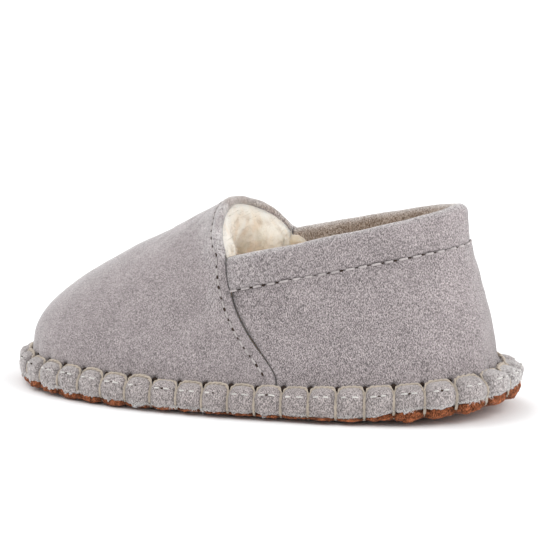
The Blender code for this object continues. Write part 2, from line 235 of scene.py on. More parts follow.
# Loose fibres of the rand's cut edge: ranges of the draws for root, direction and size, then their hang,
# radius, lowest height, patches, taper and the small tilt that keeps a normal off its own path
FIBRE_REACH = (0.86, 0.98)
FIBRE_HEIGHT = (0.0, 0.1)
FIBRE_SWEEP = (-0.9, 0.9)
FIBRE_FLARE = (0.05, 0.6)
FIBRE_CURL = (-0.8, 0.8)
FIBRE_SIZE = (0.35, 1.2)
FIBRE_HANG = 0.75
FIBRE_RADIUS = 0.055
FIBRE_FLOOR = 0.08
FIBRE_PATCH = {"mean": 0.4, "least": 0.1, "most": 1.4}
FIBRE_ROOT_GIRTH = 1.1
FIBRE_TAPER = 0.6
FIBRE_NORMAL_TILT = (0.01, 0.02, 0)

# Fineness of the grids, and the number of samples of lines that are interpolated
VAMP_GRID = Grid(150, 340)
QUARTER_GRID = Grid(120, 380)
LINING_GRID = Grid(90, 320)
SOCK_GRID = Grid(26, 300)
BAND_COLUMNS = 400
RAND_SAMPLES = 20
RAND_RING = 40
SKIRT_ROWS = {"outside": 4, "inside": 3, "lining": 4}
RIM_ROWS = {"vamp": 15, "quarter": 7, "band": 20, "sole": 15}
INNER_ROWS = {"vamp": 24, "quarter": 20}
BAND_ROWS = {"outer": 22, "inner": 10}
ROW_CROWD = 1.5
LINING_BACK_STEP = 6
STITCH_POINTS = 9
LOCK_POINTS = 5
FIBRE_POINTS = 4
OUTLINE_SAMPLES = 2001
WALL_SAMPLES = 161
COUNT_SAMPLES = 4001
EDGE_SAMPLES = 240
LINE_SAMPLES = {"rim": 300, "rows": 120, "columns": 90, "window": 9, "collar": 900, "rand": 4000}

# Relief, stains, and painted shade and light: a bell is a Gaussian of a height, middle and width, and a fade
# falls over its length
Bell = namedtuple("Bell", "height middle width")
Fade = namedtuple("Fade", "height length")
STITCH_LINE = 2.4
STITCH_GROOVE = Bell(0.16, STITCH_LINE, 0.42)
# Painted shade: STITCH_DARK in the vamp's stitch groove, CUT_EDGE_DARK along its cut edge, CAP_DARK on its
# end caps
STITCH_DARK = Bell(0.12, STITCH_LINE, 0.3)
RIM_PUFF = Bell(-0.05, 1.1, 0.8)
CUT_EDGE_DARK = Fade(0.5, 0.1)
CAP_DARK = 0.4
# Painted highlight: a paler strip a few millimetres inside the vamp's throat rim, on its upper part
HIGHLIGHT_STRIP = Bell(0.22, 5.0, 3.0)
HIGHLIGHT_STRIP_CLIMB = (0.4, 0.8)
WORN_TOP = Bell(0.2, 0.0, 2.0)
RIM_PALE = 0.36
RIM_BROWN = 0.5
RIM_BROWN_FADE_U = 0.3
TOP_BROWN = Bell(1.0, 0.0, 1.5)
FOOT_PUCKER = Fade(0.8, 2.0)
PUCKER_FULLNESS = 0.8
FOOT_FLARE = Bell(0.7, 0.0, 1.5)
# Painted shade at the upper's foot: round each hand stitch, and a faint line along the rand
FOOT_HOLE_ACROSS = Bell(0.9, 0.0, 0.7)
FOOT_HOLE_UP = Bell(1.0, 0.5, 0.7)
FOOT_SHADE_LINE = Fade(0.1, 0.6)
HOLE_STRENGTH = Ends(0.75, 1.05, 0.95)
HOLE_MEAN = 0.8
HOLE_VARY = 0.55
BAND_GROOVE = Fade(0.3, 0.45)
# Painted shadow beside the vamp's edge on the quarter, and painted shade under the band's hem
BESIDE_VAMP_DARK = Fade(0.95, 0.2)
UNDER_BAND_DARK = Fade(0.06, 0.3)
BAND_NIP = Bell(0.24, 0.0, 1.2)
# Painted shade along the band's outer hem and on its two ends
BAND_HEM_DARK = Bell(0.1, 0.0, 0.3)
BAND_END_DARK = 0.35
BAND_WORN = Bell(0.45, 0.0, 0.9)
# Painted light: the band paler at its ends beside the seam
BAND_SEAM_LIGHT = Bell(0.16, 0.0, 0.07)
BAND_BROWN = 0.9
BAND_BROWN_BEND = (0.7, 1.3)
BAND_TOP_LUMPS = Fade(1.0, 3.0)
RAND_HANG = Bell(1.0, 0.0, 0.16)
# Painted shade on the rand: RAND_TOP_DARK in the crevice at its top, RAND_GROOVE_DARK in the grooves between
# puffs
RAND_TOP_DARK = Bell(0.2, 0.02, 0.1)
RAND_TOP_FROM = 0.5
RAND_GROOVE_DARK = 0.75
# Painted light: the rand paler at the heel's end and towards toe and heel
RAND_HEEL_PALE = Bell(0.6, 1.0, 0.05)
RAND_PALE = Ends(0.3, 0.0, 0.2)
RAND_HEM_PALE = Bell(1.0, 0.0, 0.08)
RAND_HEM_FROM = 0.6
# Painted shade in the pinches of the sole's edge between its lumps
SOLE_GROOVE_DARK = 0.7
SOLE_GROOVE_POWER = 1.5
# Painted shade of the lining: warmer and a little darker deeper below its lip; LINING_BEHIND tints the wool
# tan behind the seam
LINING_DEEP = 0.12
LINING_DEEP_BELOW = (2.5, 9.0)
LINING_BEHIND = 0.6
LIP_PALE = Bell(0.5, 0.0, 1.9)
LIP_BROWN = Bell(0.6, LIP_LINE, 0.45)
SPECK_MEAN = 0.4
# Painted light: the locks are paler than the wool under them, to offset the shade among them
LOCK_PALE = 0.7
SOCK_PALE = 0.55

# Smooth random ripples of each surface: range of the draws for pace, then height, wavelength and seed
RIPPLE_PACE = (0.7, 1.5)
Wave = namedtuple("Wave", "height length seed")
WAVES = {
    "vamp": (Wave(0.12, 16.0, 3), Wave(0.05, 5.0, 4)),
    "vamp_rim": (Wave(0.08, 7.0, 5),),
    "vamp_rim_tone": (Wave(0.16, 5.0, 6),),
    "quarter": (Wave(0.14, 18.0, 13), Wave(0.05, 5.0, 14)),
    "band": (Wave(0.16, 11.0, 23), Wave(0.06, 4.0, 24)),
    "band_top": (Wave(0.12, 14.0, 25),),
    "rand": (Wave(0.16, 4.5, 33), Wave(0.08, 1.7, 34)),
    "rand_hem": (Wave(0.4, 3.0, 35), Wave(0.2, 1.1, 36)),
    "sole_edge": (Wave(0.2, 2.6, 43), Wave(0.1, 1.0, 44)),
    "sole_height": (Wave(0.1, 2.0, 45),),
    "lining": (Wave(0.3, 8.0, 51), Wave(0.1, 3.0, 52), Wave(0.05, 1.3, 53)),
    "lip_specks": (Wave(0.6, 4.0, 54),),
    "sock": (Wave(0.3, 5.0, 71), Wave(0.2, 2.4, 72)),
    "fibre_patches": (Wave(0.8, 9.0, 112),),
}

# Seeds of the other random draws
SEED = {
    "groove": 21, "rand_reach": 31, "rand_crest": 32, "sole_reach": 41, "sole_low": 42, "lining_roots": 61,
    "lining_locks": 62, "sock_roots": 81, "sock_locks": 82, "hand": 91, "machine": 101, "fibres": 111,
}

# Soft creases of the upper, a row each: place round the shoe and down the wall, half length, half width,
# turn and depth
Crease = namedtuple("Crease", "u drop half_length half_width turn_deg depth")
CREASES = (
    Crease(0.40, 27.0, 14.0, 4.0, 62.0, 0.35),
    Crease(0.30, 33.0, 12.0, 5.0, 50.0, 0.25),
    Crease(0.51, 20.0, 9.0, 2.4, 75.0, 0.3),
    Crease(0.70, 18.0, 13.0, 3.5, 12.0, 0.3),
    Crease(0.83, 22.0, 12.0, 4.0, -8.0, 0.35),
    Crease(0.93, 15.0, 10.0, 3.0, 4.0, 0.3),
    Crease(1.17, 20.0, 12.0, 4.0, 10.0, 0.35),
    Crease(1.31, 21.0, 13.0, 3.5, -12.0, 0.3),
    Crease(1.60, 28.0, 14.0, 4.0, -62.0, 0.35),
    Crease(1.72, 33.0, 12.0, 5.0, -48.0, 0.25),
)
RIDGE_SHARE = 0.5
RIDGE_AT = 1.9

# One hand stitch from its foot to the middle of its bar, a row each: place across the puff, -1 at the
# stitch and 0 halfway, share of the rand's reach and height, direction and thickness of the thread
ArcPoint = namedtuple("ArcPoint", "across reach height off_deg thickness")
THREAD_ARC = (
    ArcPoint(-1.0, 0.93, 0.03, 0.0, 0.62),
    ArcPoint(-1.0, 1.0, 0.22, 0.0, 0.62),
    ArcPoint(-1.0, 1.0, 0.46, 10.0, 0.62),
    ArcPoint(-1.0, 0.94, 0.7, 25.0, 0.62),
    ArcPoint(-0.99, 0.78, 0.88, 45.0, 0.7),
    ArcPoint(-0.94, 0.5, 0.98, 65.0, 0.85),
    ArcPoint(-0.82, 0.3, 1.01, 70.0, 1.05),
    ArcPoint(-0.58, 0.2, 1.0, 70.0, 1.2),
    ArcPoint(-0.3, 0.18, 0.99, 70.0, 1.25),
)
THREAD_SAMPLES = 64
THREAD_TWISTS = 8.0
THREAD_FOOT_INSET = Ends(1.2, 0.2, -0.05)
THREAD_SWAY = (-0.07, 0.07)
THREAD_SAG = (-0.05, 0.03)
THREAD_GIRTH = (0.85, 1.15)
THREAD_STAND = 0.45
THREAD_PINCH = 0.32
THREAD_PLY = 0.62
THREAD_WIND = 0.5
THREAD_LEAN = 0.6
THREAD_FOOT = {"edge": 0.5, "tuck": 0.05}
HAND_HOLE = {"out": 0.45, "up": 0.2, "lean": 0.5, "size": 0.67, "vary": 0.18, "rise": 0.1, "stretch": 1.2}

# Machine stitches: irregularity, length as a share of the pitch, thickness as a share of the thread's, height
# over and under the surface, then each hole's place behind the stitch, size, irregularity, height and stretch
StitchRow = namedtuple(
    "StitchRow", "jitter share thickness rise sink hole_after hole less more hole_rise stretch"
)
VAMP_ROW = StitchRow(0.15, 0.66, 0.96, 0.12, 0.45, 0.4, 0.3, 0.08, 0.1, 0.08, 2.0)
COLLAR_ROW = StitchRow(0.2, 0.68, 1.2, 0.2, 0.5, 0.45, 0.2, 0.07, 0.08, 0.06, 2.0)
VAMP_ROW_STARTS = ((1, 0.1), (-1, 0.24))
VAMP_ROW_END = 3.0
COLLAR_ROW_START = 0.4
COLLAR_ROW_OVERLAP_U = 0.018
COLLAR_ROW_DEPTH = 0.18
RAND_ROW_PLACE = RandPoint(0.925, 0.75)
RAND_ROW_LEAN = 0.4
RAND_ROW = {"gap": (0.7, 1.1), "before": 1.7, "kept": 0.85, "length": (1.2, 1.8), "rise": 0.16, "sink": 0.35}
RAND_HOLE = {"size": 0.22, "vary": (-0.06, 0.08), "rise": 0.05, "stretch": 1.5}

# Looks: grain and nap of each suede, pale nap of wear and of painted highlights, flesh side of the hide
# inside the band
Suede = namedtuple("Suede", "contrast grain_mm nap_mm sheen mottle")
SUEDES = {
    "vamp": Suede(0.64, 0.16, 0.2, 1.0, 0.08),
    "quarter": Suede(0.75, 0.16, 0.25, 0.8, 0.06),
    "band": Suede(0.68, 0.17, 0.25, 0.8, 0.06),
    "rand": Suede(0.72, 0.18, 0.25, 0.7, 0.08),
    "sole": Suede(0.95, 0.22, 0.5, 0.1, 0.25),
}
WEAR_AND_HIGHLIGHT_NAP = (0.82, 0.80, 0.79, 1.0)
FLESH_DARK = (0.18, 0.12, 0.08, 1.0)
FLESH_LIGHT = (0.76, 0.66, 0.58, 1.0)

# Suede: flecks and clouds in sizes of the grain, their shares, the ranges of tone and the brightness, also of
# the pale nap, and the dark of painted shade
FLECK_SIZE = 4
CLOUD_SIZE = 40
CLOUD_SHARE = 0.05
NAP_TONES = (0.41, 0.63)
NAP_DARKER = 0.85
NAP_LIGHTER = 1.2
PALE_NAP_FLECK = 0.25
PALE_NAP_TONES = (0.42, 0.58)
PALE_NAP_DARK = 0.5
PAINTED_SHADE_DARK = 0.12
BUMP_FLECK = 0.3

# Thread, wool and stitch holes: sizes of their noise, shares, ranges of tone, brightness and bump
THREAD_LOOK = {
    "fibre_mm": 0.16, "dirt_mm": 2.4, "dirt": 0.4, "tones": (0.3, 0.7), "dark": 0.68, "light": 1.1,
    "bump_mm": 0.08,
}
WOOL_LOOK = {
    "patch_mm": 6.0, "patch_tones": (0.42, 0.66), "patch": 0.75, "crimp_mm": 0.5, "crimp_tones": (0.3, 0.6),
    "crimp": 0.25, "crimp_light": 1.05, "shade": 1.08, "pale": 1.04, "brown": 0.55, "bump_mm": 0.32,
}
HOLE_LOOK = {"grain_mm": 0.3, "dark": 0.7, "light": 1.3, "bump_mm": 0.05}
MACHINE_HOLE_TINT = 1.3


def half_outline():
    """Half outline of the last, even by length: |x/a|^n + |y/b|^n = 1 ahead of the ball and behind it."""
    angle = np.linspace(0, pi, OUTLINE_SAMPLES)
    ahead = np.cos(angle) > 0
    square = np.where(ahead, TOE_SQUARENESS, HEEL_SQUARENESS)
    reach = np.where(ahead, TOE_REACH, HEEL_REACH)
    x = BALL_X - np.sign(np.cos(angle)) * reach * np.abs(np.cos(angle)) ** (2 / square)
    y = BALL_HALF_WIDTH * np.abs(np.sin(angle)) ** (2 / square)
    length = np.concatenate([[0], np.cumsum(np.hypot(np.diff(x), np.diff(y)))])
    even = np.linspace(0, length[-1], angle.size)
    return np.interp(even, length, x), np.interp(even, length, y)


OUTLINE_X, OUTLINE_Y = half_outline()
TOE_X = OUTLINE_X[0]
FOOT_LENGTH = OUTLINE_X[-1] - TOE_X


def bell(value, shape):
    """A Gaussian of the shape's height, middle and width."""
    return shape.height * np.exp(-((value - shape.middle) / shape.width) ** 2)


def fade(value, shape):
    """An exponential that falls from the shape's height over its length."""
    return shape.height * np.exp(-value / shape.length)


def smooth_step(value, start, end):
    """0 up to start, 1 from end on, level at both."""
    share = np.clip((value - start) / (end - start), 0, 1)
    return share * share * (3 - 2 * share)


def unit(vectors):
    """The vectors divided by their lengths."""
    return vectors / np.linalg.norm(vectors, axis=-1, keepdims=True)


def half_place(u):
    """Share of the half outline, 0 at the toe and 1 at the heel, and the side: -1 outer, 1 inner."""
    turn = np.mod(u, 2)
    return np.where(turn > 1, 2 - turn, turn), np.where(turn > 1, 1.0, -1.0)


def mix_ends(ends, ahead, behind):
    """The value at the side, moved towards the toe's and the heel's by the given shares."""
    toe, side, heel = ends
    return side + (toe - side) * ahead + (heel - side) * behind


def quarter_turns(share):
    """Two angles that grow by a quarter turn: one from the toe to the seam, one from the seam to the heel."""
    ahead = np.clip(share / SEAM_U, 0, 1)
    behind = np.clip((share - SEAM_U) / (1 - SEAM_U), 0, 1)
    return pi / 2 * ahead, pi / 2 * behind


def blend_ends(u, ends):
    """Blend of the values at toe, side and heel by squared sines, level at all three places."""
    arch, turn = quarter_turns(half_place(u)[0])
    return mix_ends(ends, np.cos(arch) ** 2, np.sin(turn) ** 2)


def end_rise(x, toe, heel, end_share):
    """Height gained towards the ends: a parabola over the given share of the length at each end."""
    along = (x - TOE_X) / FOOT_LENGTH
    near_toe = np.clip(1 - along / end_share, 0, None)
    near_heel = np.clip(1 - (1 - along) / end_share, 0, None)
    return toe * near_toe ** 2 + heel * near_heel ** 2


def sole_lift(x):
    """Height of the underside of the sole above the floor."""
    return end_rise(x, TOE_SPRING, HEEL_LIFT, LIFT_SHARE)


def sole_edge_heights(u):
    """Lowest and highest line of the sole's edge above the underside of the sole."""
    share, _ = half_place(u)
    ahead = 1 - smooth_step(share, *TOE_EDGE_U)
    behind = smooth_step(share, *HEEL_EDGE_U)
    low = mix_ends(CURL, ahead, behind)
    return low, low + mix_ends(EDGE_THICK, ahead, behind)


def join_line(u):
    """Points of the line where the upper meets the rand."""
    share, side = half_place(u)
    place = np.linspace(0, 1, OUTLINE_X.size)
    x = np.interp(share, place, OUTLINE_X)
    y = side * np.interp(share, place, OUTLINE_Y)
    toe, middle, heel = JOIN_HEIGHT
    return np.stack([x, y, middle + end_rise(x, toe - middle, heel - middle, JOIN_RISE_SHARE)], axis=-1)


def outward(u):
    """Level unit normals of the outline: its tangent turned a quarter, pointing out of the shoe."""
    step = 0.002
    along = join_line(u + step) - join_line(u - step)
    return unit(np.stack([along[..., 1], -along[..., 0], 0 * along[..., 0]], axis=-1))


def top_edge(u):
    """Top edge: the throat's arch, a superellipse, as far as the seam, then the collar, another one."""
    share, side = half_place(u)
    corner_x = SEAM_CORNER.x + SEAM_SKEW * side
    corner_z = SEAM_CORNER.z + np.where(side > 0, INNER_CORNER_RISE, 0.0)
    arch, turn = quarter_turns(share)
    x_arch = corner_x + (THROAT_CROWN.x - corner_x) * np.cos(arch) ** (2 / THROAT_SETBACK)
    y_arch = SEAM_CORNER.y * np.sin(arch) ** (2 / THROAT_ROUNDNESS)
    z_arch = corner_z + (THROAT_CROWN.z - corner_z) * np.cos(arch) ** (2 / THROAT_ROUNDNESS)
    back = np.sin(turn) ** (2 / COLLAR_ROUNDNESS)
    x_collar = corner_x + (HEEL_TOP.x - corner_x) * back
    width = SEAM_CORNER.y + COLLAR_BOW * np.sin(pi * back)
    y_collar = width * np.clip(np.cos(turn), 0, 1) ** (2 / COLLAR_ROUNDNESS)
    z_collar = corner_z + (HEEL_TOP.z - corner_z) * back
    vamp = share <= SEAM_U + TINY
    x = np.where(vamp, x_arch, x_collar)
    y = side * np.where(vamp, y_arch, y_collar)
    return np.stack([x, y, np.where(vamp, z_arch, z_collar)], axis=-1)


def skin(u, t):
    """Outer face of the upper: a cubic Bezier curve from rand to top edge, in an upright plane."""
    u, t = np.broadcast_arrays(u, t)
    foot = join_line(u)
    top = top_edge(u)
    inwards = unit((top - foot) * (1, 1, 0))
    section = Section(*(blend_ends(u, column)[..., None] for column in zip(*SECTIONS)))
    arrival = np.radians(section.arrival_deg)
    leave = foot + section.rise * (UP - section.bulge * inwards)
    arrive = top - section.run * (np.cos(arrival) * inwards + np.sin(arrival) * UP)
    t = t[..., None]
    rest = 1 - t
    return rest ** 3 * foot + 3 * rest ** 2 * t * leave + 3 * rest * t ** 2 * arrive + t ** 3 * top


def skin_normal(u, t):
    """Unit normals of the outer face, from differences inside the panel, vamp or quarter, of each place."""
    u, t = np.broadcast_arrays(np.mod(u, 2), t)
    step = 0.004
    inner_half = u > 1
    vamp = half_place(u)[0] <= SEAM_U + TINY
    start = np.where(vamp, np.where(inner_half, 2 - SEAM_U, -SEAM_U), SEAM_U)
    end = np.where(vamp, np.where(inner_half, 2 + SEAM_U, SEAM_U), 2 - SEAM_U)
    along = skin(np.clip(u + step, start, end), t) - skin(np.clip(u - step, start, end), t)
    rising = skin(u, np.clip(t + step, 0, 1)) - skin(u, np.clip(t - step, 0, 1))
    return unit(np.cross(along, rising))


def wall_point(u, t, depth):
    """Points at a depth behind the outer face, square to it."""
    u, t, depth = np.broadcast_arrays(u, t, depth)
    return skin(u, t) - depth[..., None] * skin_normal(u, t)


def wall_runs(u):
    """Even shares t up the wall, and the length from the rand to each of them: a row for each place u."""
    shares = np.linspace(0, 1, WALL_SAMPLES)
    steps = np.linalg.norm(np.diff(skin(u[:, None], shares), axis=1), axis=2)
    return shares, np.concatenate([np.zeros((u.size, 1)), np.cumsum(steps, axis=1)], axis=1)


def wall_length(u):
    """Length of the wall from rand to top edge in each column."""
    return wall_runs(u)[1][:, -1]


def wall_drop(u, t):
    """Length down the wall from the top edge to a share t, one for each column of u."""
    shares, run = wall_runs(u)
    apart = 2.0 * np.arange(u.size)
    return run[:, -1] - np.interp(t + apart, (shares + apart[:, None]).ravel(), run.ravel())


def wall_share(u, drop):
    """Share t of the places a length down from the top edge: rows of drop by columns of u.

    The lengths of all columns are laid end to end, well apart, so that one interpolation reads them all.
    """
    shares, run = wall_runs(u)
    length = run[:, -1]
    base = np.arange(u.size) * 4 * length.max()
    wanted = np.clip(length - drop, 0, length) + base
    found = np.interp(wanted.ravel(), (run + base[:, None]).ravel(), np.tile(shares, u.size))
    return found.reshape(wanted.shape)


def on_wall(u, drop, depth):
    """Points a length down from the top edge and at a depth: rows of drop by columns of u."""
    return wall_point(u, wall_share(u, drop), depth)


def puff_count(u):
    """Number of puffs passed since the toe's half puff or, on the inner side, left to it."""
    share, _ = half_place(u)
    late = np.clip((share - PUFF_SHIFT_FROM_U) / (1 - PUFF_SHIFT_FROM_U), 0, 1)
    return 0.5 + PUFFS_PER_SIDE * (share - PUFF_SHIFT_U * np.sin(2 * pi * late))


def count_places(counts):
    """Places on the outer side where the number of puffs passed reaches the counts."""
    fine = np.linspace(0, 1, COUNT_SAMPLES)
    return np.interp(counts, puff_count(fine), fine)


def puff_places():
    """Places round the whole shoe, the same number of samples in each puff, crowded at the grooves."""
    even = 0.5 + np.arange(PUFFS_PER_SIDE * RAND_SAMPLES + 1) / RAND_SAMPLES
    outer = count_places(even - PUFF_CROWD * np.sin(2 * pi * even) / (2 * pi))
    return np.concatenate([outer, 2 - outer[-2:0:-1]])


def groove_places():
    """Places of the grooves round the whole shoe, where the hand stitches lie."""
    outer = count_places(np.arange(1, PUFFS_PER_SIDE + 1))
    return np.concatenate([outer, 2 - outer[::-1]])


def puff_spans():
    """Middle and half width of each puff, as places round the shoe."""
    grooves = groove_places()
    after = np.append(grooves[1:], grooves[0] + 2)
    return (grooves + after) / 2, (after - grooves) / 2


def groove_distance(u):
    """About the length from the nearest groove: a sine of the puffs' count."""
    return puff_swell(u, 1.0) / pi * PUFF_LENGTH


def puff_swell(u, fullness=PUFF_FULLNESS):
    """Swell of a puff: 0 in the groove under a stitch, a rounded sine up to 1 between two stitches."""
    return np.abs(np.sin(pi * puff_count(u))) ** fullness


def one_each(count, inner, seed):
    """A random number from -1 to 1 for each puff or groove, found by its count and side."""
    draws = np.random.default_rng(seed).uniform(-1, 1, 2 * PUFFS_PER_SIDE + 1)
    return draws[np.where(inner, PUFFS_PER_SIDE + count, count)]


def puff_luck(u, seed):
    """A different number from -1 to 1 for each puff, faded to 0 at its grooves."""
    count = np.floor(puff_count(u)).astype(int)
    inner = (np.mod(u, 2) > 1) & (count > 0) & (count < PUFFS_PER_SIDE)
    return one_each(count, inner, seed) * puff_swell(u, 1.0)


def groove_luck(u):
    """A different number from -1 to 1 for each groove."""
    return one_each(np.round(puff_count(u)).astype(int), np.mod(u, 2) > 1, SEED["groove"])


def ripples(points, kind, waves=24):
    """Smooth random relief: for each wave of the kind, a sum of plane waves in random directions."""
    total = 0
    for wave in WAVES[kind]:
        random = np.random.default_rng(wave.seed)
        pace = unit(random.normal(size=(waves, 3))) * random.uniform(*RIPPLE_PACE, (waves, 1))
        phase = random.uniform(0, 2 * pi, waves)
        relief = np.cos(points @ pace.T * (2 * pi / wave.length) + phase).sum(-1)
        total = total + wave.height * relief * np.sqrt(2 / waves)
    return total


def smooth_curve(points, place):
    """Catmull-Rom curve through the points along the last axis but one, read at places counted in points."""
    last = points.shape[-2] - 1
    here = np.minimum(np.floor(place).astype(int), last - 1)
    before, start, end, after = (points[..., np.clip(here + shift, 0, last), :] for shift in range(-1, 3))
    f = (place - here)[:, None]
    square = 2 * before - 5 * start + 4 * end - after
    cube = 3 * start - before - 3 * end + after
    return 0.5 * (2 * start + (end - before) * f + square * f ** 2 + cube * f ** 3)


def swung(points):
    """The points with the forefoot bent to the inner side by a parabola."""
    share = np.clip((SWING_FROM_X - points[..., 0]) / (SWING_FROM_X - TOE_X), 0, None)
    bent = points.copy()
    bent[..., 1] += SWING * share ** 2
    return bent


def grid_quads(rows, columns, close_rows=False, close_columns=False):
    """Corner numbers of the cells of a grid whose points are numbered row by row."""
    number = np.arange(rows * columns).reshape(rows, columns)
    number = np.pad(number, ((0, int(close_rows)), (0, int(close_columns))), mode="wrap")
    corners = (number[:-1, :-1], number[:-1, 1:], number[1:, 1:], number[1:, :-1])
    return np.stack(corners, axis=-1).reshape(-1, 4)


def ring_cells(sides):
    """Cells across one ring of an even number of sides."""
    low = np.arange(sides // 2 - 1)
    return np.stack([low, low + 1, sides - 2 - low, sides - 1 - low], axis=-1)


def stack(**parts):
    """Grids of points laid one after another, and the rows in which each lies."""
    ends = np.cumsum([len(part) for part in parts.values()])
    rows = {name: slice(end - len(part), end) for (name, part), end in zip(parts.items(), ends)}
    return np.concatenate(list(parts.values())), rows


def shade_and_stain(rings, rows, **values):
    """A number for each point: the given values in the rows of their parts, 0 elsewhere."""
    numbers = np.zeros(rings.shape[:2])
    for part, value in values.items():
        numbers[rows[part]] = value
    return numbers


def wall_faces(rings, rows):
    """Faces of a panel of the wall: closed rings, one a column, and rungs that close both ends.

    A rung joins the outer chain of rows to the inner one. The chains are in step at foot, join, top of the
    face and crest.
    """
    total, columns, _ = rings.shape
    rim = rows["rim"]
    crest = (rim.start + rim.stop) // 2
    outer = [0, rows["face"].start, rim.start - 1, crest]
    inner = [0, total - rows["inner"].stop, total - rim.stop - 1, total - 1 - crest]
    place = np.arange(crest + 1)
    partner = total - 1 - np.floor(np.interp(place, outer, inner) + TINY).astype(int)
    low, high = place[:-1], place[1:]
    low_in, high_in = partner[:-1], partner[1:]
    square = (low_in != high_in) & (high_in != high)
    quads = np.stack([low, high, high_in, low_in], axis=-1)[square] * columns
    triangles = np.stack([low, high, low_in], axis=-1)[~square] * columns
    last = columns - 1
    body = grid_quads(total, columns, close_rows=True)
    return [body, quads, triangles, quads[:, ::-1] + last, triangles[:, ::-1] + last]


def signed_volume(points, faces):
    """Volume inside the faces, negative when they point inwards: the sum of the cones from the origin."""
    volume = 0.0
    for group in faces:
        first = points[group[:, 0]]
        for corner in range(1, group.shape[1] - 1):
            turn = np.cross(points[group[:, corner]], points[group[:, corner + 1]])
            volume += np.einsum("ij,ij->", first, turn) / 6
    return volume


def add_piece(name, points, faces, material, slot=None, replaces=(), merge=False, **shades_and_stains):
    """A mesh object from arrays, pointing outwards, at the origin, riding on the shoe.

    faces is one array of corner numbers or a list of them. The keyword numbers from 0 to 1 for each point are
    read by the material by name: shade for painted shade in seams, grooves, holes and depths and for a tan
    tint in the wool behind the seam, pale for bleached nap, paler edges and wool, and painted light, brown
    for the flesh side.
    """
    points = swung(points.reshape(-1, 3)) * MM
    faces = faces if isinstance(faces, list) else [faces]
    if signed_volume(points, faces) < 0:
        faces = [group[:, ::-1] for group in faces]
    corners = np.concatenate([group.ravel() for group in faces])
    sizes = np.concatenate([np.full(len(group), group.shape[1]) for group in faces])
    mesh = bpy.data.meshes.new(name)
    mesh.vertices.add(len(points))
    mesh.vertices.foreach_set("co", points.astype(np.float32).ravel())
    mesh.loops.add(corners.size)
    mesh.loops.foreach_set("vertex_index", corners.astype(np.int32))
    mesh.polygons.add(sizes.size)
    mesh.polygons.foreach_set("loop_start", (np.cumsum(sizes) - sizes).astype(np.int32))
    mesh.update(calc_edges=True)
    for label, values in shades_and_stains.items():
        stored = mesh.attributes.new(label, "FLOAT", "POINT")
        stored.data.foreach_set("value", np.clip(values, 0, 1).astype(np.float32).ravel())
    if merge:
        shape = bmesh.new()
        shape.from_mesh(mesh)
        bmesh.ops.remove_doubles(shape, verts=shape.verts, dist=MERGE_DISTANCE * MM)
        shape.to_mesh(mesh)
        shape.free()
    mesh.shade_smooth()
    mesh.materials.append(material)
    piece = bpy.data.objects.new(name, mesh)
    bpy.context.scene.collection.objects.link(piece)
    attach(piece, "root")
    if replaces:
        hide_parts(*replaces)
    return piece


def copies(points, cells):
    """Points and cells of many like meshes, the first axis of the points counting them, as one mesh."""
    count, size = points.shape[0], points[0].size // 3
    offsets = np.arange(count)[:, None, None] * size
    return points.reshape(-1, 3), (cells + offsets).reshape(-1, 4)


def joined(*parts):
    """Points and cells of several meshes as one."""
    points = np.concatenate([part[0] for part in parts])
    starts = np.cumsum([0] + [len(part[0]) for part in parts[:-1]])
    return points, np.concatenate([part[1] + start for part, start in zip(parts, starts)])


def tubes(paths, normals, radius, sides=6, flat=1.0):
    """Threads along many paths at once, with pointed ends.

    Paths are tubes by points by three. A ring of points lies round each path point: the normal times the
    cosine, flattened, plus the binormal times the sine. The end rings shrink nearly to a point.
    """
    tip = 0.02
    count, length, _ = paths.shape
    tangents = unit(np.gradient(paths, axis=1))
    binormals = unit(np.cross(tangents, normals))
    normals = np.cross(binormals, tangents)
    angle = np.linspace(0, 2 * pi, sides, endpoint=False)[:, None]
    radius = np.broadcast_to(radius, (count, length)).copy()
    radius[:, [0, -1]] *= tip
    rings = normals[:, :, None] * np.cos(angle) * flat + binormals[:, :, None] * np.sin(angle)
    points = paths[:, :, None] + rings * radius[:, :, None, None]
    wall = grid_quads(length, sides, close_columns=True)[:, ::-1]
    cap = ring_cells(sides)
    return copies(points, np.concatenate([wall, cap, cap[:, ::-1] + (length - 1) * sides]))


class Track:
    """A line on a surface that is read by length: points and normals, interpolated between samples."""

    def __init__(self, points, normals):
        steps = np.linalg.norm(np.diff(points, axis=0), axis=1)
        self.run = np.concatenate([[0], np.cumsum(steps)])
        self.length = self.run[-1]
        self.columns = np.concatenate([points, normals], axis=1).T

    def at(self, places):
        """Points and unit normals at the given lengths along the line."""
        values = np.stack([np.interp(places, self.run, column) for column in self.columns], axis=-1)
        return values[..., :3], unit(values[..., 3:])


def stitches_on(track, starts, lengths, radius, rise, sink):
    """Short threads along a track: each rises from a hole, lies on the surface and sinks into the next.

    Height over the surface = rise minus (rise plus sink) times the sixth power of the place from -1 to 1.
    """
    flat = 0.8
    place = np.linspace(-1, 1, STITCH_POINTS)
    points, normals = track.at(starts[:, None] + lengths[:, None] * (place + 1) / 2)
    height = rise - (rise + sink) * place ** 6
    return tubes(points + normals * height[:, None], normals, radius, flat=flat)


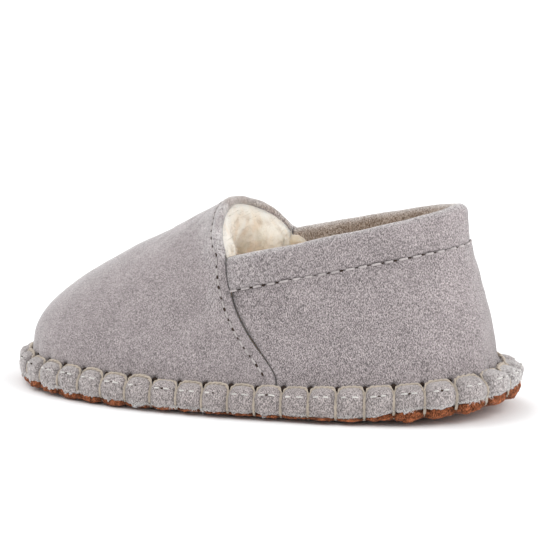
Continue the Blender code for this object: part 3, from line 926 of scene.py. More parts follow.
def pits_on(track, places, radius, rise, stretch):
    """Stitch holes as dark domes of painted shade: low, of eight sides, lying on the surface, stretched along
    the track.
    """
    sides, sink, step, top_share = 8, 0.25, 0.05, 0.75
    points, normals = track.at(places)
    across = unit(np.cross(normals, track.at(places + step)[0] - track.at(places - step)[0]))
    along = np.cross(across, normals)
    angle = np.linspace(0, 2 * pi, sides, endpoint=False)[:, None]
    ring = along[:, None] * np.cos(angle) * stretch + across[:, None] * np.sin(angle)
    ring = ring * radius[:, None, None]
    low = points[:, None] + ring - normals[:, None] * sink
    high = points[:, None] + ring * top_share + normals[:, None] * rise
    cap = ring_cells(sides)
    cells = np.concatenate([grid_quads(2, sides, close_columns=True), cap + sides, cap[:, ::-1]])
    return copies(np.concatenate([low, high], axis=1), cells)


class Value:
    """A shader socket that takes part in Python arithmetic; each operation adds a Math node."""

    def __init__(self, recipe, socket):
        self.recipe = recipe
        self.socket = socket

    def math(self, operation, other):
        """A Math node on this value and another value or number."""
        return self.recipe.node("ShaderNodeMath", {"operation": operation}, {0: self, 1: other})

    def __add__(self, other):
        return self.math("ADD", other)

    def __mul__(self, other):
        return self.math("MULTIPLY", other)


class Recipe:
    """One material: a Principled shader, its constants, and the nodes that feed it."""

    def __init__(self, name, **constants):
        self.material = bpy.data.materials.new(name)
        self.material.use_nodes = True
        self.tree = self.material.node_tree
        self.shader = self.tree.nodes["Principled BSDF"]
        for socket, value in constants.items():
            self.shader.inputs[socket.replace("_", " ").title().replace("Ior", "IOR")].default_value = value

    def node(self, kind, settings, inputs, output=0):
        """A node of any kind: its settings first, then values or links for its sockets."""
        made = self.tree.nodes.new(kind)
        for name, value in settings.items():
            setattr(made, name, value)
        for socket, value in inputs.items():
            self.feed(made.inputs[socket], value)
        return Value(self, made.outputs[output])

    def feed(self, socket, value):
        """Links a value to a socket, or sets it."""
        if isinstance(value, Value):
            self.tree.links.new(value.socket, socket)
        else:
            socket.default_value = value

    def noise(self, size_mm, detail=2.0, roughness=0.5, distortion=0.0, stretch=(1.0, 1.0, 1.0)):
        """Noise from 0 to 1 in Object coordinates, about the given size; a stretch under 1 draws it out."""
        place = self.node("ShaderNodeTexCoord", {}, {}, "Object")
        inputs = {
            "Vector": self.node("ShaderNodeMapping", {}, {"Vector": place, "Scale": stretch}),
            "Scale": 1 / (size_mm * MM),
            "Detail": detail,
            "Roughness": roughness,
            "Distortion": distortion,
        }
        return self.node("ShaderNodeTexNoise", {}, inputs, "Fac")

    def attribute(self, name):
        """A number stored on the mesh."""
        return self.node("ShaderNodeAttribute", {"attribute_name": name}, {}, "Fac")

    def spread(self, value, low, high):
        """The value stretched so that low becomes 0 and high 1, smoothly."""
        inputs = {"Value": value, "From Min": low, "From Max": high}
        return self.node("ShaderNodeMapRange", {"interpolation_type": "SMOOTHSTEP"}, inputs)

    def mix(self, factor, first, second):
        """Mix of two colours."""
        settings = {"data_type": "RGBA", "blend_type": "MIX"}
        return self.node("ShaderNodeMix", settings, {0: factor, 6: first, 7: second}, 2)

    def finish(self, colour, height, distance_mm):
        """Feeds the shader's colour and bump."""
        self.feed(self.shader.inputs["Base Color"], colour)
        bump = {"Strength": 1.0, "Distance": distance_mm * MM, "Height": height}
        self.feed(self.shader.inputs["Normal"], self.node("ShaderNodeBump", {}, bump))
        return self.material


def tinted(colour, factor=1.0):
    """A colour with its brightness multiplied."""
    return tuple(min(1.0, channel * factor) for channel in colour[:3]) + (1.0,)


def suede_material(kind, colour):
    """Suede: nap lighter and darker than the hide, slow clouds of tone, painted shade in seams, grooves and
    holes.
    """
    contrast, grain_mm, nap_mm, sheen, mottle = SUEDES[kind]
    recipe = Recipe(
        kind + "_suede", roughness=0.95, specular_ior_level=0.12, sheen_weight=sheen, sheen_roughness=0.28
    )
    grain = recipe.noise(grain_mm, detail=5.0, roughness=0.75)
    fibre = recipe.noise(grain_mm, detail=1.0, stretch=(1.0, 1.0, 0.4), distortion=0.4)
    fleck = recipe.noise(grain_mm * FLECK_SIZE)
    cloud = recipe.noise(grain_mm * CLOUD_SIZE)
    nap = grain * 0.5 + fibre * 0.5
    blend = nap * (1 - CLOUD_SHARE - mottle) + fleck * mottle + cloud * CLOUD_SHARE
    tone = recipe.spread(blend, *NAP_TONES)
    dark = tinted(colour, 1 - NAP_DARKER * contrast)
    hide = recipe.mix(tone, dark, tinted(colour, 1 + NAP_LIGHTER * contrast))
    flesh = recipe.mix(tone, FLESH_DARK, FLESH_LIGHT)
    hide = recipe.mix(recipe.attribute("brown"), hide, flesh)
    # Pale nap where the mesh is marked pale: worn nap, and on some pieces painted highlights
    tips = recipe.spread(nap * (1 - PALE_NAP_FLECK) + fleck * PALE_NAP_FLECK, *PALE_NAP_TONES)
    wear_and_highlight = recipe.mix(tips, tinted(colour, PALE_NAP_DARK), WEAR_AND_HIGHLIGHT_NAP)
    hide = recipe.mix(recipe.attribute("pale"), hide, wear_and_highlight)
    # Painted shade: darker where the mesh is marked shade, in seams, grooves, holes and at the foot
    shaded = recipe.mix(recipe.attribute("shade"), hide, tinted(colour, PAINTED_SHADE_DARK))
    return recipe.finish(shaded, nap * (1 - BUMP_FLECK) + fleck * BUMP_FLECK, nap_mm)


def thread_material(name, colour):
    """Thread: fibres along a soft strand, a little dirt in the hollows."""
    look = THREAD_LOOK
    recipe = Recipe(name, roughness=0.8, specular_ior_level=0.2, sheen_weight=0.2)
    fibre = recipe.noise(look["fibre_mm"])
    dirt = recipe.noise(look["dirt_mm"])
    tone = recipe.spread(fibre * (1 - look["dirt"]) + dirt * look["dirt"], *look["tones"])
    hue = recipe.mix(tone, tinted(colour, look["dark"]), tinted(colour, look["light"]))
    return recipe.finish(hue, fibre, look["bump_mm"])


def wool_material(name, colour, warm):
    """Wool: cream with tan patches where the pelt shows, soft crimp in the bump."""
    recipe = Recipe(
        name,
        roughness=1.0,
        specular_ior_level=0.1,
        sheen_weight=0.3,
        sheen_roughness=0.6,
        subsurface_weight=0.6,
        subsurface_radius=(1.0, 0.9, 0.8),
        subsurface_scale=0.004,
    )
    look = WOOL_LOOK
    clouds = recipe.noise(look["patch_mm"], detail=3.0, distortion=0.8, stretch=(1.0, 1.0, 0.5))
    patch = recipe.spread(clouds, *look["patch_tones"])
    crimp = recipe.noise(look["crimp_mm"], detail=3.0, distortion=1.5)
    hue = recipe.mix(patch * look["patch"], tinted(colour), tinted(warm))
    curls = recipe.spread(crimp, *look["crimp_tones"]) * look["crimp"]
    hue = recipe.mix(curls, hue, tinted(colour, look["crimp_light"]))
    hue = recipe.mix(recipe.attribute("shade"), hue, tinted(warm, look["shade"]))
    hue = recipe.mix(recipe.attribute("pale"), hue, tinted(colour, look["pale"]))
    hue = recipe.mix(recipe.attribute("brown"), hue, tinted(warm, look["brown"]))
    return recipe.finish(hue, crimp, look["bump_mm"])


def pit_material(name, colour):
    """Painted shade of a stitch hole: the dark colour of the domes that stand for it."""
    look = HOLE_LOOK
    recipe = Recipe(name, roughness=1.0, specular_ior_level=0.0)
    grain = recipe.noise(look["grain_mm"])
    hue = recipe.mix(grain, tinted(colour, look["dark"]), tinted(colour, look["light"]))
    return recipe.finish(hue, grain, look["bump_mm"])


def crease_depth(u, drop):
    """Soft troughs of the upper, each with a ridge beside it: Gaussians across their width and length."""
    depth = np.zeros(np.broadcast_shapes(u.shape, drop.shape))
    for crease in CREASES:
        x = (np.mod(u - crease.u + 1, 2) - 1) * OUTLINE_ARC
        y = crease.drop - drop
        turn = radians(crease.turn_deg)
        along = (x * np.cos(turn) + y * np.sin(turn)) / crease.half_length
        across = (y * np.cos(turn) - x * np.sin(turn)) / crease.half_width
        trough = np.exp(-across ** 2) - RIDGE_SHARE * np.exp(-(across - RIDGE_AT) ** 2)
        depth = depth + crease.depth * np.exp(-along ** 2) * trough
    return depth


def foot_relief(u, height):
    """Foot of the upper: it flares out on to the rand, with dents at the grooves of the hand stitches."""
    return (1 - puff_swell(u, PUCKER_FULLNESS)) * fade(height, FOOT_PUCKER) - bell(height, FOOT_FLARE)


def foot_dark(u, height):
    """Painted shade at the upper's foot: a soft dark hole at each hand stitch and a faint line along the
    rand.
    """
    hole = bell(groove_distance(u), FOOT_HOLE_ACROSS) * bell(height, FOOT_HOLE_UP)
    strength = blend_ends(u, HOLE_STRENGTH)
    return hole * strength * (HOLE_MEAN + HOLE_VARY * groove_luck(u)) + fade(height, FOOT_SHADE_LINE)


def foot_rows(u, depth, rows):
    """Rows of the wall behind the rand, from the sole up to the join."""
    line = wall_point(u, 0.0, depth)
    low = sole_lift(join_line(u)[..., 0]) + SOLE_THICK + GAP
    share = np.arange(rows)[:, None] / rows
    points = np.repeat(line[None], rows, axis=0)
    points[..., 2] = low + share * (line[..., 2] - low)
    return points


def panel_rings(u, face, depth, inner_depth, **above):
    """Rings of a panel of the wall and the rows of its parts: skirts, face and what lies above it."""
    return stack(
        skirt=foot_rows(u, np.maximum(depth[0], 0), SKIRT_ROWS["outside"]),
        face=face,
        **above,
        skirt_in=foot_rows(u, inner_depth, SKIRT_ROWS["inside"])[::-1],
    )


def seam_gap(points, side, samples):
    """Distance of points to the vamp's edge on one side."""
    curve = skin(np.array(side * SEAM_U), np.linspace(0, 1, samples))
    return np.linalg.norm(points[..., None, :] - curve, axis=-1).min(axis=-1)


def vamp_edge_gap(points, u):
    """Distance to the vamp's nearer edge in the columns near it; the other columns get a large value."""
    far = 99.0
    distance = np.full(points.shape[:2], far)
    for side in (1, -1):
        near = np.abs(u - side * SEAM_U) < SEAM_NEAR_U
        distance[:, near] = seam_gap(points[:, near], side, EDGE_SAMPLES)
    return distance


def vamp_columns():
    """Places across the vamp, crowded at its two cut edges."""
    middle = np.linspace(-SEAM_U + LAP_STEP_U, SEAM_U - LAP_STEP_U, VAMP_GRID.columns)
    edge = SEAM_U - LAP_STEP_U * np.array(VAMP_EDGE_COLUMNS)
    return np.concatenate([-edge[::-1], middle, edge])


def vamp_roll(u):
    """Radius of the throat's rolled rim: it thins towards the vamp's cut edges as a Gaussian."""
    from_edge = (SEAM_U - np.abs(u)) * OUTLINE_ARC
    thin_over = np.where(u > 0, THIN_EDGE["outer"], THIN_EDGE["inner"])
    return ROLL * (1 - THIN_EDGE["share"] * np.exp(-((from_edge / thin_over) ** 2)))


def vamp_face(u, drop):
    """Outer face of the vamp: points, depth, distance to the cut edge, and height over the rand.

    Depth = raise and rounding of the cut edge, groove under the stitch line, dents at the rand, creases and
    slow ripples.
    """
    length = wall_length(u)
    height = length - drop
    climb = height / (length - vamp_roll(u))
    t = wall_share(u, drop)
    bare = skin(u, t)
    edge = vamp_edge_gap(bare, u)
    rim = np.minimum(edge, drop)
    lap = np.exp(-(SEAM_U - np.abs(u)) / LAP_FADE_U) * climb ** LAP_POWER
    relief = bell(rim, STITCH_GROOVE) + bell(rim, RIM_PUFF) + crease_depth(u, drop) + foot_relief(u, height)
    rounded = 1 - np.sqrt(np.clip(1 - (1 - np.clip(edge / RAW_EDGE, 0, 1)) ** 2, 0, 1))
    depth = relief + ripples(bare, "vamp") * climb - VAMP_EDGE_RAISE * lap + RAW_EDGE * rounded
    return bare - depth[..., None] * skin_normal(u, t), depth, edge, height


def build_vamp(material):
    """Vamp: outer face, rolled throat rim and inner face as closed rings, one a column.

    The rim is a half circle of the roll's radius.
    """
    u = vamp_columns()
    length = wall_length(u)
    roll = vamp_roll(u)
    climb = np.linspace(0, 1, VAMP_GRID.rows)[:, None]
    drop = length - climb * (length - roll)
    face, depth, edge, height = vamp_face(u, drop)
    rim = np.minimum(edge, drop)
    angle = np.linspace(0, pi, RIM_ROWS["vamp"])[1:-1, None]
    rim_drop = roll - (roll + ripples(face[-1], "vamp_rim") * roll / ROLL) * np.sin(angle)
    rim_depth = depth[-1] * (1 + np.cos(angle)) / 2 + roll * (1 - np.cos(angle))
    inner_drop = roll + np.linspace(0, 1, INNER_ROWS["vamp"])[:, None] ** ROW_CROWD * (length - roll)
    inner = on_wall(u, inner_drop, 2 * roll)
    rings, rows = panel_rings(u, face, depth, 2 * roll, rim=on_wall(u, rim_drop, rim_depth), inner=inner)
    # Painted shade: in the stitch groove, at the foot, along the cut edge and on the end caps
    dark = bell(rim, STITCH_DARK) + foot_dark(u, height) + fade(edge, CUT_EDGE_DARK)
    shade = shade_and_stain(rings, rows, face=dark)
    shade[rows["rim"].start:, [0, 1, -2, -1]] = CAP_DARK
    # Pale: a painted highlight strip inside the throat rim, high up, and worn nap along the top edge
    wear_and_highlight = bell(rim, HIGHLIGHT_STRIP) * smooth_step(climb, *HIGHLIGHT_STRIP_CLIMB) + bell(drop, WORN_TOP)
    pale = shade_and_stain(rings, rows, face=wear_and_highlight, rim=RIM_PALE + ripples(rings[rows["rim"]], "vamp_rim_tone"))
    cut = RIM_BROWN * (1 - smooth_step(u, 0.0, RIM_BROWN_FADE_U))
    brown = shade_and_stain(rings, rows, face=cut * bell(drop, TOP_BROWN), rim=cut)
    shades_and_stains = {"shade": shade, "pale": pale, "brown": brown}
    return add_piece("vamp", rings, wall_faces(rings, rows), material, "upper_suede", ("upper",), **shades_and_stains)


def build_quarter(material):
    """Quarter: from one vamp edge round the heel to the other, closed rings, one a column.

    Depth of the outer face = sink beside the vamp, groove under the band's stitches, dents at the rand,
    creases and slow ripples. Above the groove the wall steps in behind the collar band.
    """
    first = SEAM_U + LAP_STEP_U * QUARTER_START
    crowd = LAP_STEP_U * np.array(QUARTER_EDGE_COLUMNS)
    inset = LAP_STEP_U * QUARTER_EVEN_FROM
    middle = np.linspace(first + inset, 2 - first - inset, QUARTER_GRID.columns)
    u = np.concatenate([first + crowd, middle, 2 - first - crowd[::-1]])
    share = half_place(u)[0]
    length = wall_length(u)
    width = blend_ends(u, BAND_WIDTH)
    climb = np.linspace(0, 1, QUARTER_GRID.rows)[:, None]
    drop = length - climb * (length - width)
    height = length - drop
    t = wall_share(u, drop)
    bare = skin(u, t)
    lap = np.exp(-(share - SEAM_U) / LAP_FADE_U) * climb ** LAP_POWER
    relief = fade(drop - width, BAND_GROOVE) + crease_depth(u, drop) + foot_relief(u, height)
    depth = relief + ripples(bare, "quarter") * climb + QUARTER_EDGE_SINK * lap
    crest = BAND_THICK + GAP
    rebate = crest - BAND_PROUD
    half = (WALL - rebate) / 2
    steps = [width - above for above in STEP_ABOVE_HEM]
    step_drop = np.stack([*steps, width / 2, np.full(u.size, crest + half)])
    step_depth = np.array([STEP_DEPTH, rebate, rebate, rebate])[:, None]
    angle = np.linspace(0, pi, RIM_ROWS["quarter"])[1:-1, None]
    rim_drop = crest + half - half * np.sin(angle) + 0 * u
    inner_drop = crest + half + np.linspace(0, 1, INNER_ROWS["quarter"])[:, None] * (length - crest - half)
    face = bare - depth[..., None] * skin_normal(u, t)
    rings, rows = panel_rings(
        u, face, depth, WALL,
        step=on_wall(u, step_drop, step_depth),
        rim=on_wall(u, rim_drop, rebate + half * (1 - np.cos(angle))),
        inner=on_wall(u, inner_drop, WALL),
    )
    # Painted shadow: a thin dark line beside the vamp's edge; painted shade under the band's hem and at the
    # foot
    beside = fade((share - first) * OUTLINE_ARC, BESIDE_VAMP_DARK)
    shade = shade_and_stain(rings, rows, face=beside + fade(drop - width, UNDER_BAND_DARK) + foot_dark(u, height))
    faces = wall_faces(rings, rows)
    return add_piece("quarter", rings, faces, material, "upper_suede", ("upper",), shade=shade)


def build_band(material):
    """Collar band: a strip folded over the top edge, its U section carried round the collar.

    The middle line of the section runs up the outer leg, round a half circle and down the inner leg; the two
    faces lie half a thickness to each side of it, drawn together at the hems.
    """
    first = SEAM_U + BAND_END_U
    u = np.linspace(first, 2 - first, BAND_COLUMNS)
    width = blend_ends(u, BAND_WIDTH) - BAND_SHORT
    half = BAND_THICK / 2
    outer = half - BAND_PROUD
    inner = WALL + GAP + half
    bend = (inner - outer) / 2
    top = bend + half
    up = np.linspace(0, 1, BAND_ROWS["outer"])[:, None] ** ROW_CROWD
    turn = np.linspace(0, pi, RIM_ROWS["band"])[1:-1, None]
    down = np.linspace(0, 1, BAND_ROWS["inner"])[:, None]
    lean = np.concatenate([0 * up, turn, 0 * down + pi])
    over = top - bend * np.sin(turn) + 0 * u
    middle_drop = np.concatenate([width - up * (width - top), over, top + down * (width - top)])
    middle_depth = outer + bend * (1 - np.cos(lean))
    from_hem = np.clip((width - middle_drop) / BAND_HEM, 0, 1)
    thick = half * np.sqrt(np.clip(1 - (1 - from_hem) ** 2, BAND_HEM_LEAST, 1))
    drop_aside = thick * np.sin(lean)
    depth_aside = thick * np.cos(lean)
    drop = np.concatenate([middle_drop - drop_aside, (middle_drop + drop_aside)[::-1]])
    depth = np.concatenate([middle_depth - depth_aside, (middle_depth + depth_aside)[::-1]])
    bare = on_wall(u, np.maximum(drop, 0), depth)
    lump = ripples(bare, "band")
    outside = depth < outer + bend
    depth = depth + np.where(outside, lump + bell(drop - width, BAND_NIP), -lump)
    drop = drop + ripples(bare, "band_top") * fade(drop, BAND_TOP_LUMPS)
    rings = on_wall(u, np.maximum(drop, 0), depth)
    # Painted shade along the outer hem and on the band's two ends
    shade = bell(drop - width, BAND_HEM_DARK) * outside
    shade[:, [0, -1]] = BAND_END_DARK
    # Pale: worn nap along the top edge, and painted light at the ends beside the seam
    pale = bell(drop, BAND_WORN) + bell(half_place(u)[0] - SEAM_U, BAND_SEAM_LIGHT)
    brown = BAND_BROWN * smooth_step(depth, *(outer + share * bend for share in BAND_BROWN_BEND))
    count, columns, _ = rings.shape
    rungs = ring_cells(count) * columns
    faces = [grid_quads(count, columns, close_rows=True), rungs, rungs[:, ::-1] + columns - 1]
    shades_and_stains = {"shade": shade, "pale": pale, "brown": brown}
    return add_piece("folded_band", rings, faces, material, "band_suede", ("collar_band",), **shades_and_stains)


def rand_point(u, reach_share, height_share):
    """Points of the rand: along the outward normal by a share of its reach, up by a share of its height."""
    swell = puff_swell(u)
    notch = np.exp(-((groove_distance(u) / NOTCH_WIDTH) ** 2))
    reach = blend_ends(u, RAND_REACH) * (1 - GROOVE_SHARE * (1 - swell))
    reach = reach + PUFF_LUCK * puff_luck(u, SEED["rand_reach"])
    line = join_line(u)
    high = line[..., 2] + blend_ends(u, RAND_CREST) - GROOVE_DROP * (1 - swell) - NOTCH_DROP * notch
    high = high + PUFF_LUCK * puff_luck(u, SEED["rand_crest"])
    points = line + (GAP + reach_share * (reach - GAP))[..., None] * outward(u)
    ramp = np.clip(SOLE_RAMP * reach_share, 0, 1)
    low = sole_lift(points[..., 0]) + SOLE_THICK + ramp * (sole_edge_heights(u)[1] - SOLE_THICK) + GAP
    points[..., 2] = low + height_share * (high - low)
    return points


def sole_edge_point(u, inset, height_share):
    """Points of the sole's edge, pinched at the stitches and swollen between them."""
    pinch = 1 - puff_swell(u, SOLE_FULLNESS)
    low, high = sole_edge_heights(u)
    thick = high - low
    low = low + thick * (SOLE_PINCH["low"] * pinch - SOLE_PINCH["luck"] * puff_luck(u, SEED["sole_low"]))
    high = high - thick * SOLE_PINCH["high"] * pinch
    reach = blend_ends(u, SOLE_REACH) - SCALLOP * pinch + SCALLOP_LUCK * puff_luck(u, SEED["sole_reach"])
    points = join_line(u) + (reach - inset)[..., None] * outward(u)
    points[..., 2] = sole_lift(points[..., 0]) + low + height_share * (high - low)
    return points


def build_rand(material):
    """Rand: the section carried round the outline, swollen between the stitches, its lower edge ragged."""
    u = puff_places()
    corners = np.pad(RAND_SECTION, ((1, 2), (0, 0)), mode="wrap")
    place = 1 + np.arange(RAND_RING) * len(RAND_SECTION) / RAND_RING
    reach, height = smooth_curve(corners, place).T[:, :, None] + 0 * u
    bare = rand_point(u, reach, height)
    swell = puff_swell(u)
    outside = np.clip(reach * RAND_FACE_GAIN - RAND_FACE_OFFSET, 0, 1) * swell
    ragged = blend_ends(u, RAND_OVERHANG) + np.abs(ripples(bare, "rand_hem"))
    points = bare + (outside * ripples(bare, "rand"))[..., None] * outward(u)
    points[..., 2] -= bell(height, RAND_HANG) * outside * ragged
    # Painted shade in the grooves and in the crevice at the rand's top
    shade = RAND_GROOVE_DARK * (1 - swell) ** 2 + bell(reach, RAND_TOP_DARK) * (height > RAND_TOP_FROM)
    # Pale: the pale cut edge at the hem, and painted light at the heel's end and towards toe and heel
    hem = bell(height, RAND_HEM_PALE) * (reach > RAND_HEM_FROM)
    pale = hem + bell(u, RAND_HEEL_PALE) + blend_ends(u, RAND_PALE)
    quads = grid_quads(RAND_RING, u.size, True, True)
    return add_piece("puffed_rand", points, quads, material, "rand_suede", ("rand",), shade=shade, pale=pale)


def spine_of(outline):
    """The line along the sole's middle, a point for each point of an outline."""
    spine = outline * (1, 0, 0)
    spine[:, 0] = np.clip(spine[:, 0], *SPINE_X)
    return spine


def face_rows(outline, shares, height):
    """Rings of a flat face that follows the sole, from the line along its middle out to an outline."""
    spine = spine_of(outline)
    rings = spine + np.array(shares)[:, None, None] * (outline - spine)
    rings[..., 2] = sole_lift(rings[..., 0]) + height
    return rings


def build_outsole(material):
    """Outsole: flat faces and a rounded lumpy edge, pinched at the stitches and swollen between them.

    The edge is a half ellipse from the top of its thickness to the bottom, roughened by ripples.
    """
    u = puff_places()
    out = outward(u)
    line = join_line(u)
    reach = blend_ends(u, SOLE_REACH)
    angle = np.radians(np.linspace(90, -90, RIM_ROWS["sole"]))[:, None]
    edge = sole_edge_point(u, SOLE_ROUND * (1 - np.cos(angle)) + 0 * u, (1 + np.sin(angle)) / 2)
    edge = edge + (ripples(edge, "sole_edge") * np.cos(angle))[..., None] * out
    edge[..., 2] = np.maximum(edge[..., 2] + ripples(edge, "sole_height"), FLOOR_CLEAR)
    rings, rows = stack(
        over=face_rows(line + (reach - SOLE_MARGIN["over"])[:, None] * out, SOLE_RINGS["over"], SOLE_THICK),
        edge=edge,
        under=face_rows(line + (reach - SOLE_MARGIN["under"])[:, None] * out, SOLE_RINGS["under"], 0.0),
    )
    # Painted shade in the pinches of the sole's edge between its lumps
    dark = SOLE_GROOVE_DARK * (1 - puff_swell(u, SOLE_FULLNESS)) ** SOLE_GROOVE_POWER
    shade = shade_and_stain(rings, rows, edge=dark)
    quads = grid_quads(len(rings), u.size, close_columns=True)
    return add_piece(
        "suede_sole", rings, quads, material, "sole_suede", ("outsole",), merge=True, shade=shade
    )


def lining_face(u, share):
    """Inner face of the wool on the wall: drop and depth at a share from its lip, 0, to the join, 1.

    The lip lies under the throat's rim or, behind the seam, under the collar band; below it the wool swells
    inwards. Just behind the seam the wool still covers the band's inner leg.
    """
    length = wall_length(u)
    place, side = half_place(u)
    lip = LIP_DROP + INNER_LIP_DROP * smooth_step(side * place, *INNER_LIP_U)
    lip = lip + smooth_step(place, *UNDER_BAND_U) * (blend_ends(u, BAND_WIDTH) - LIP_UNDER_BAND)
    start = 2 * ROLL - LIP_SUNK + behind_seam(u) * (WALL + BAND_THICK - 2 * ROLL + LIP_OVER_BAND)
    drop = lip + share * (length - lip)
    pile = PILE + TOE_PILE * (1 - smooth_step(place, *TOE_PILE_U))
    swell = np.maximum(pile - start, PILE_LEAST) * (1 - np.exp(-(drop - lip) / (PILE_SWELL * pile)))
    return drop, start + swell


def behind_seam(u):
    """0 on the vamp and 1 on the quarter, with a short smooth change before the seam."""
    return smooth_step(half_place(u)[0], *SEAM_BLEND_U)


def lining_surface():
    """Grid of the wool's face: places round, shares down, length below the lip, points and inward normals.

    The normals are the wall's, averaged over nearby columns, so the wool runs on round the seam's corner.
    """
    u = np.linspace(0, 2, LINING_GRID.columns, endpoint=False)
    share = (np.linspace(0, 1, LINING_GRID.rows) ** LINING_CROWD)[:, None]
    drop, depth = lining_face(u, share)
    t = wall_share(u, drop)
    walls = skin_normal(u, t)
    turns = range(-SEAM_BLEND_COLUMNS, SEAM_BLEND_COLUMNS + 1)
    inwards = -unit(sum(np.roll(walls, turn, axis=1) for turn in turns))
    bare = skin(u, t) + depth[..., None] * inwards
    below = drop - drop[0]
    face = bare + (ripples(bare, "lining") * smooth_step(below, *LUMPS_BELOW_LIP))[..., None] * inwards
    return u, share, below, face, inwards


def build_lining(material):
    """Sheepskin lining: a closed wall of wool inside the upper, its face in soft lumps, down to the sock."""
    u, share, below, face, _ = lining_surface()
    back = share[::-LINING_BACK_STEP] * (1 - LINING_BACK_FROM) + LINING_BACK_FROM
    back_drop, _ = lining_face(u, back)
    sock = sole_lift(face[-1, :, 0]) + SOLE_THICK + GAP + INSOLE_THICK - BELOW_SOCK
    count = SKIRT_ROWS["lining"]
    skirt = np.repeat(face[-1:], count, axis=0)
    skirt[..., 2] += np.linspace(1 / count, 1, count)[:, None] * (sock - skirt[..., 2])
    rings, rows = stack(face=face, skirt=skirt, back=on_wall(u, back_drop, WALL + LINING_GAP))
    behind = behind_seam(u)
    # Shade: painted shade deeper below the lip, warmer and a little darker, and a tan tint in the wool behind
    # the seam
    warm = LINING_BEHIND * behind
    deep = LINING_DEEP * smooth_step(below, *LINING_DEEP_BELOW)
    shade = shade_and_stain(rings, rows, face=deep + warm, skirt=LINING_DEEP + warm)
    pale = shade_and_stain(rings, rows, face=bell(below, LIP_PALE) * (1 - behind))
    specks = np.clip(SPECK_MEAN + ripples(face, "lip_specks"), 0, 1)
    brown = shade_and_stain(rings, rows, face=bell(below, LIP_BROWN) * specks)
    quads = grid_quads(len(rings), u.size, True, True)
    return add_piece("lining", rings, quads, material, "sock_wool", shade=shade, pale=pale, brown=brown)


def wool_locks(roots, normals, length, thickness, seed):
    """Curled locks of wool: each bends over from its root and winds a little, thinning to its tip.

    Path = root + normal and a random lean times the length, plus a small helix that grows towards the tip.
    """
    random = np.random.default_rng(seed)
    count = len(roots)
    place = np.linspace(0, 1, LOCK_POINTS)
    lean = unit(np.cross(normals, unit(random.normal(size=(count, 3)))))
    side = np.cross(normals, lean)
    size = length * random.uniform(*LOCK_SIZE, (count, 1, 1))
    bend = random.uniform(*LOCK_BEND, (count, 1, 1))
    up = place[:, None] * normals[:, None] * (1 - LOCK_DROOP * bend * place[:, None])
    over = place[:, None] ** LOCK_LEAN_POWER * lean[:, None] * bend
    phase = random.uniform(0, 2 * pi, (count, 1))
    turn = (phase + place * random.uniform(*LOCK_WINDING, (count, 1)))[..., None]
    curl = LOCK_CURL * place[:, None] * (np.cos(turn) * lean[:, None] + np.sin(turn) * side[:, None])
    paths = roots[:, None] + size * (LOCK_STAND * up + LOCK_LEAN * over + curl)
    taper = thickness / 2 * (LOCK_ROOT_GIRTH - LOCK_TAPER * place) * random.uniform(*LOCK_GIRTH, (count, 1))
    return tubes(paths, np.repeat(side[:, None], place.size, axis=1), taper, sides=4)


def build_lining_wool(wool, material):
    """Locks of wool on the lining's face, rooted at random points of its grid."""
    random = np.random.default_rng(SEED["lining_roots"])
    count = wool.lock_count
    *_, face, inwards = lining_surface()
    row = random.integers(0, face.shape[0], count)
    column = random.integers(0, face.shape[1], count)
    normals = inwards[row, column]
    roots = face[row, column] - LOCK_ROOT_DEPTH * normals
    locks = wool_locks(roots, normals, wool.lock_length / MM, wool.lock_thickness / MM, SEED["lining_locks"])
    # The locks are marked pale: painted light that offsets the shade among them
    return add_piece("lining_wool", *locks, material, "sock_wool", pale=np.full(len(locks[0]), LOCK_PALE))


def sock_outline(u, inset):
    """Outline of the sock, an inset further in than the clearance inside the wall."""
    return join_line(u) * (1, 1, 0) - (WALL + 2 * GAP + inset) * outward(u)


def build_insole(material):
    """Sheepskin sock: a plate inside the wall with a lumpy woollen face."""
    u = np.linspace(0, 2, SOCK_GRID.columns, endpoint=False)
    edge = sock_outline(u, 0.0)
    inner = sock_outline(u, INSOLE_THICK / 2)
    base = SOLE_THICK + GAP
    top = face_rows(inner, np.linspace(0, 1, SOCK_GRID.rows), base + INSOLE_THICK)
    top[..., 2] += ripples(top, "sock") - SOCK_SINK
    rim = np.repeat(edge[None], 2, axis=0)
    rim[..., 2] = sole_lift(edge[:, 0]) + base + np.array(SOCK_RIM)[:, None] * INSOLE_THICK
    rings = np.concatenate([top, rim, face_rows(inner, SOCK_RINGS, base)])
    quads = grid_quads(len(rings), u.size, close_columns=True)
    pale = np.full(rings.shape[:2], SOCK_PALE)
    return add_piece(
        "sheepskin_sock", rings, quads, material, "sock_wool", ("insole",), merge=True, pale=pale
    )


def build_insole_wool(wool, material):
    """Locks of wool over the sock."""
    random = np.random.default_rng(SEED["sock_roots"])
    count = wool.lock_count // SOCK_LOCKS_ONE_IN
    inner = sock_outline(random.uniform(0, 2, count), INSOLE_THICK / 2)
    spine = spine_of(inner)
    roots = spine + np.sqrt(random.uniform(0, 1, (count, 1))) * (inner - spine)
    roots[:, 2] = sole_lift(roots[:, 0]) + SOLE_THICK + GAP + INSOLE_THICK - SOCK_LOCK_ROOT_DEPTH
    normals = np.tile(UP, (count, 1))
    length = wool.lock_length / MM * SOCK_LOCK_SHARE
    locks = wool_locks(roots, normals, length, wool.lock_thickness / MM, SEED["sock_locks"])
    return add_piece("sock_wool", *locks, material, "sock_wool")


def twisted(paths, normals, radius):
    """Two plies wound round each path: each is offset in a turning direction by a share of the radius."""
    tangents = unit(np.gradient(paths, axis=1))
    side = unit(np.cross(tangents, normals))
    lift = np.cross(side, tangents)
    angle = np.linspace(0, THREAD_TWISTS * 2 * pi, paths.shape[1])[None, :, None]
    wind = THREAD_WIND * radius[..., None] * (np.cos(angle) * side + np.sin(angle) * lift)
    ply = THREAD_PLY * radius
    return joined(tubes(paths + wind, normals, ply), tubes(paths - wind, normals, ply))


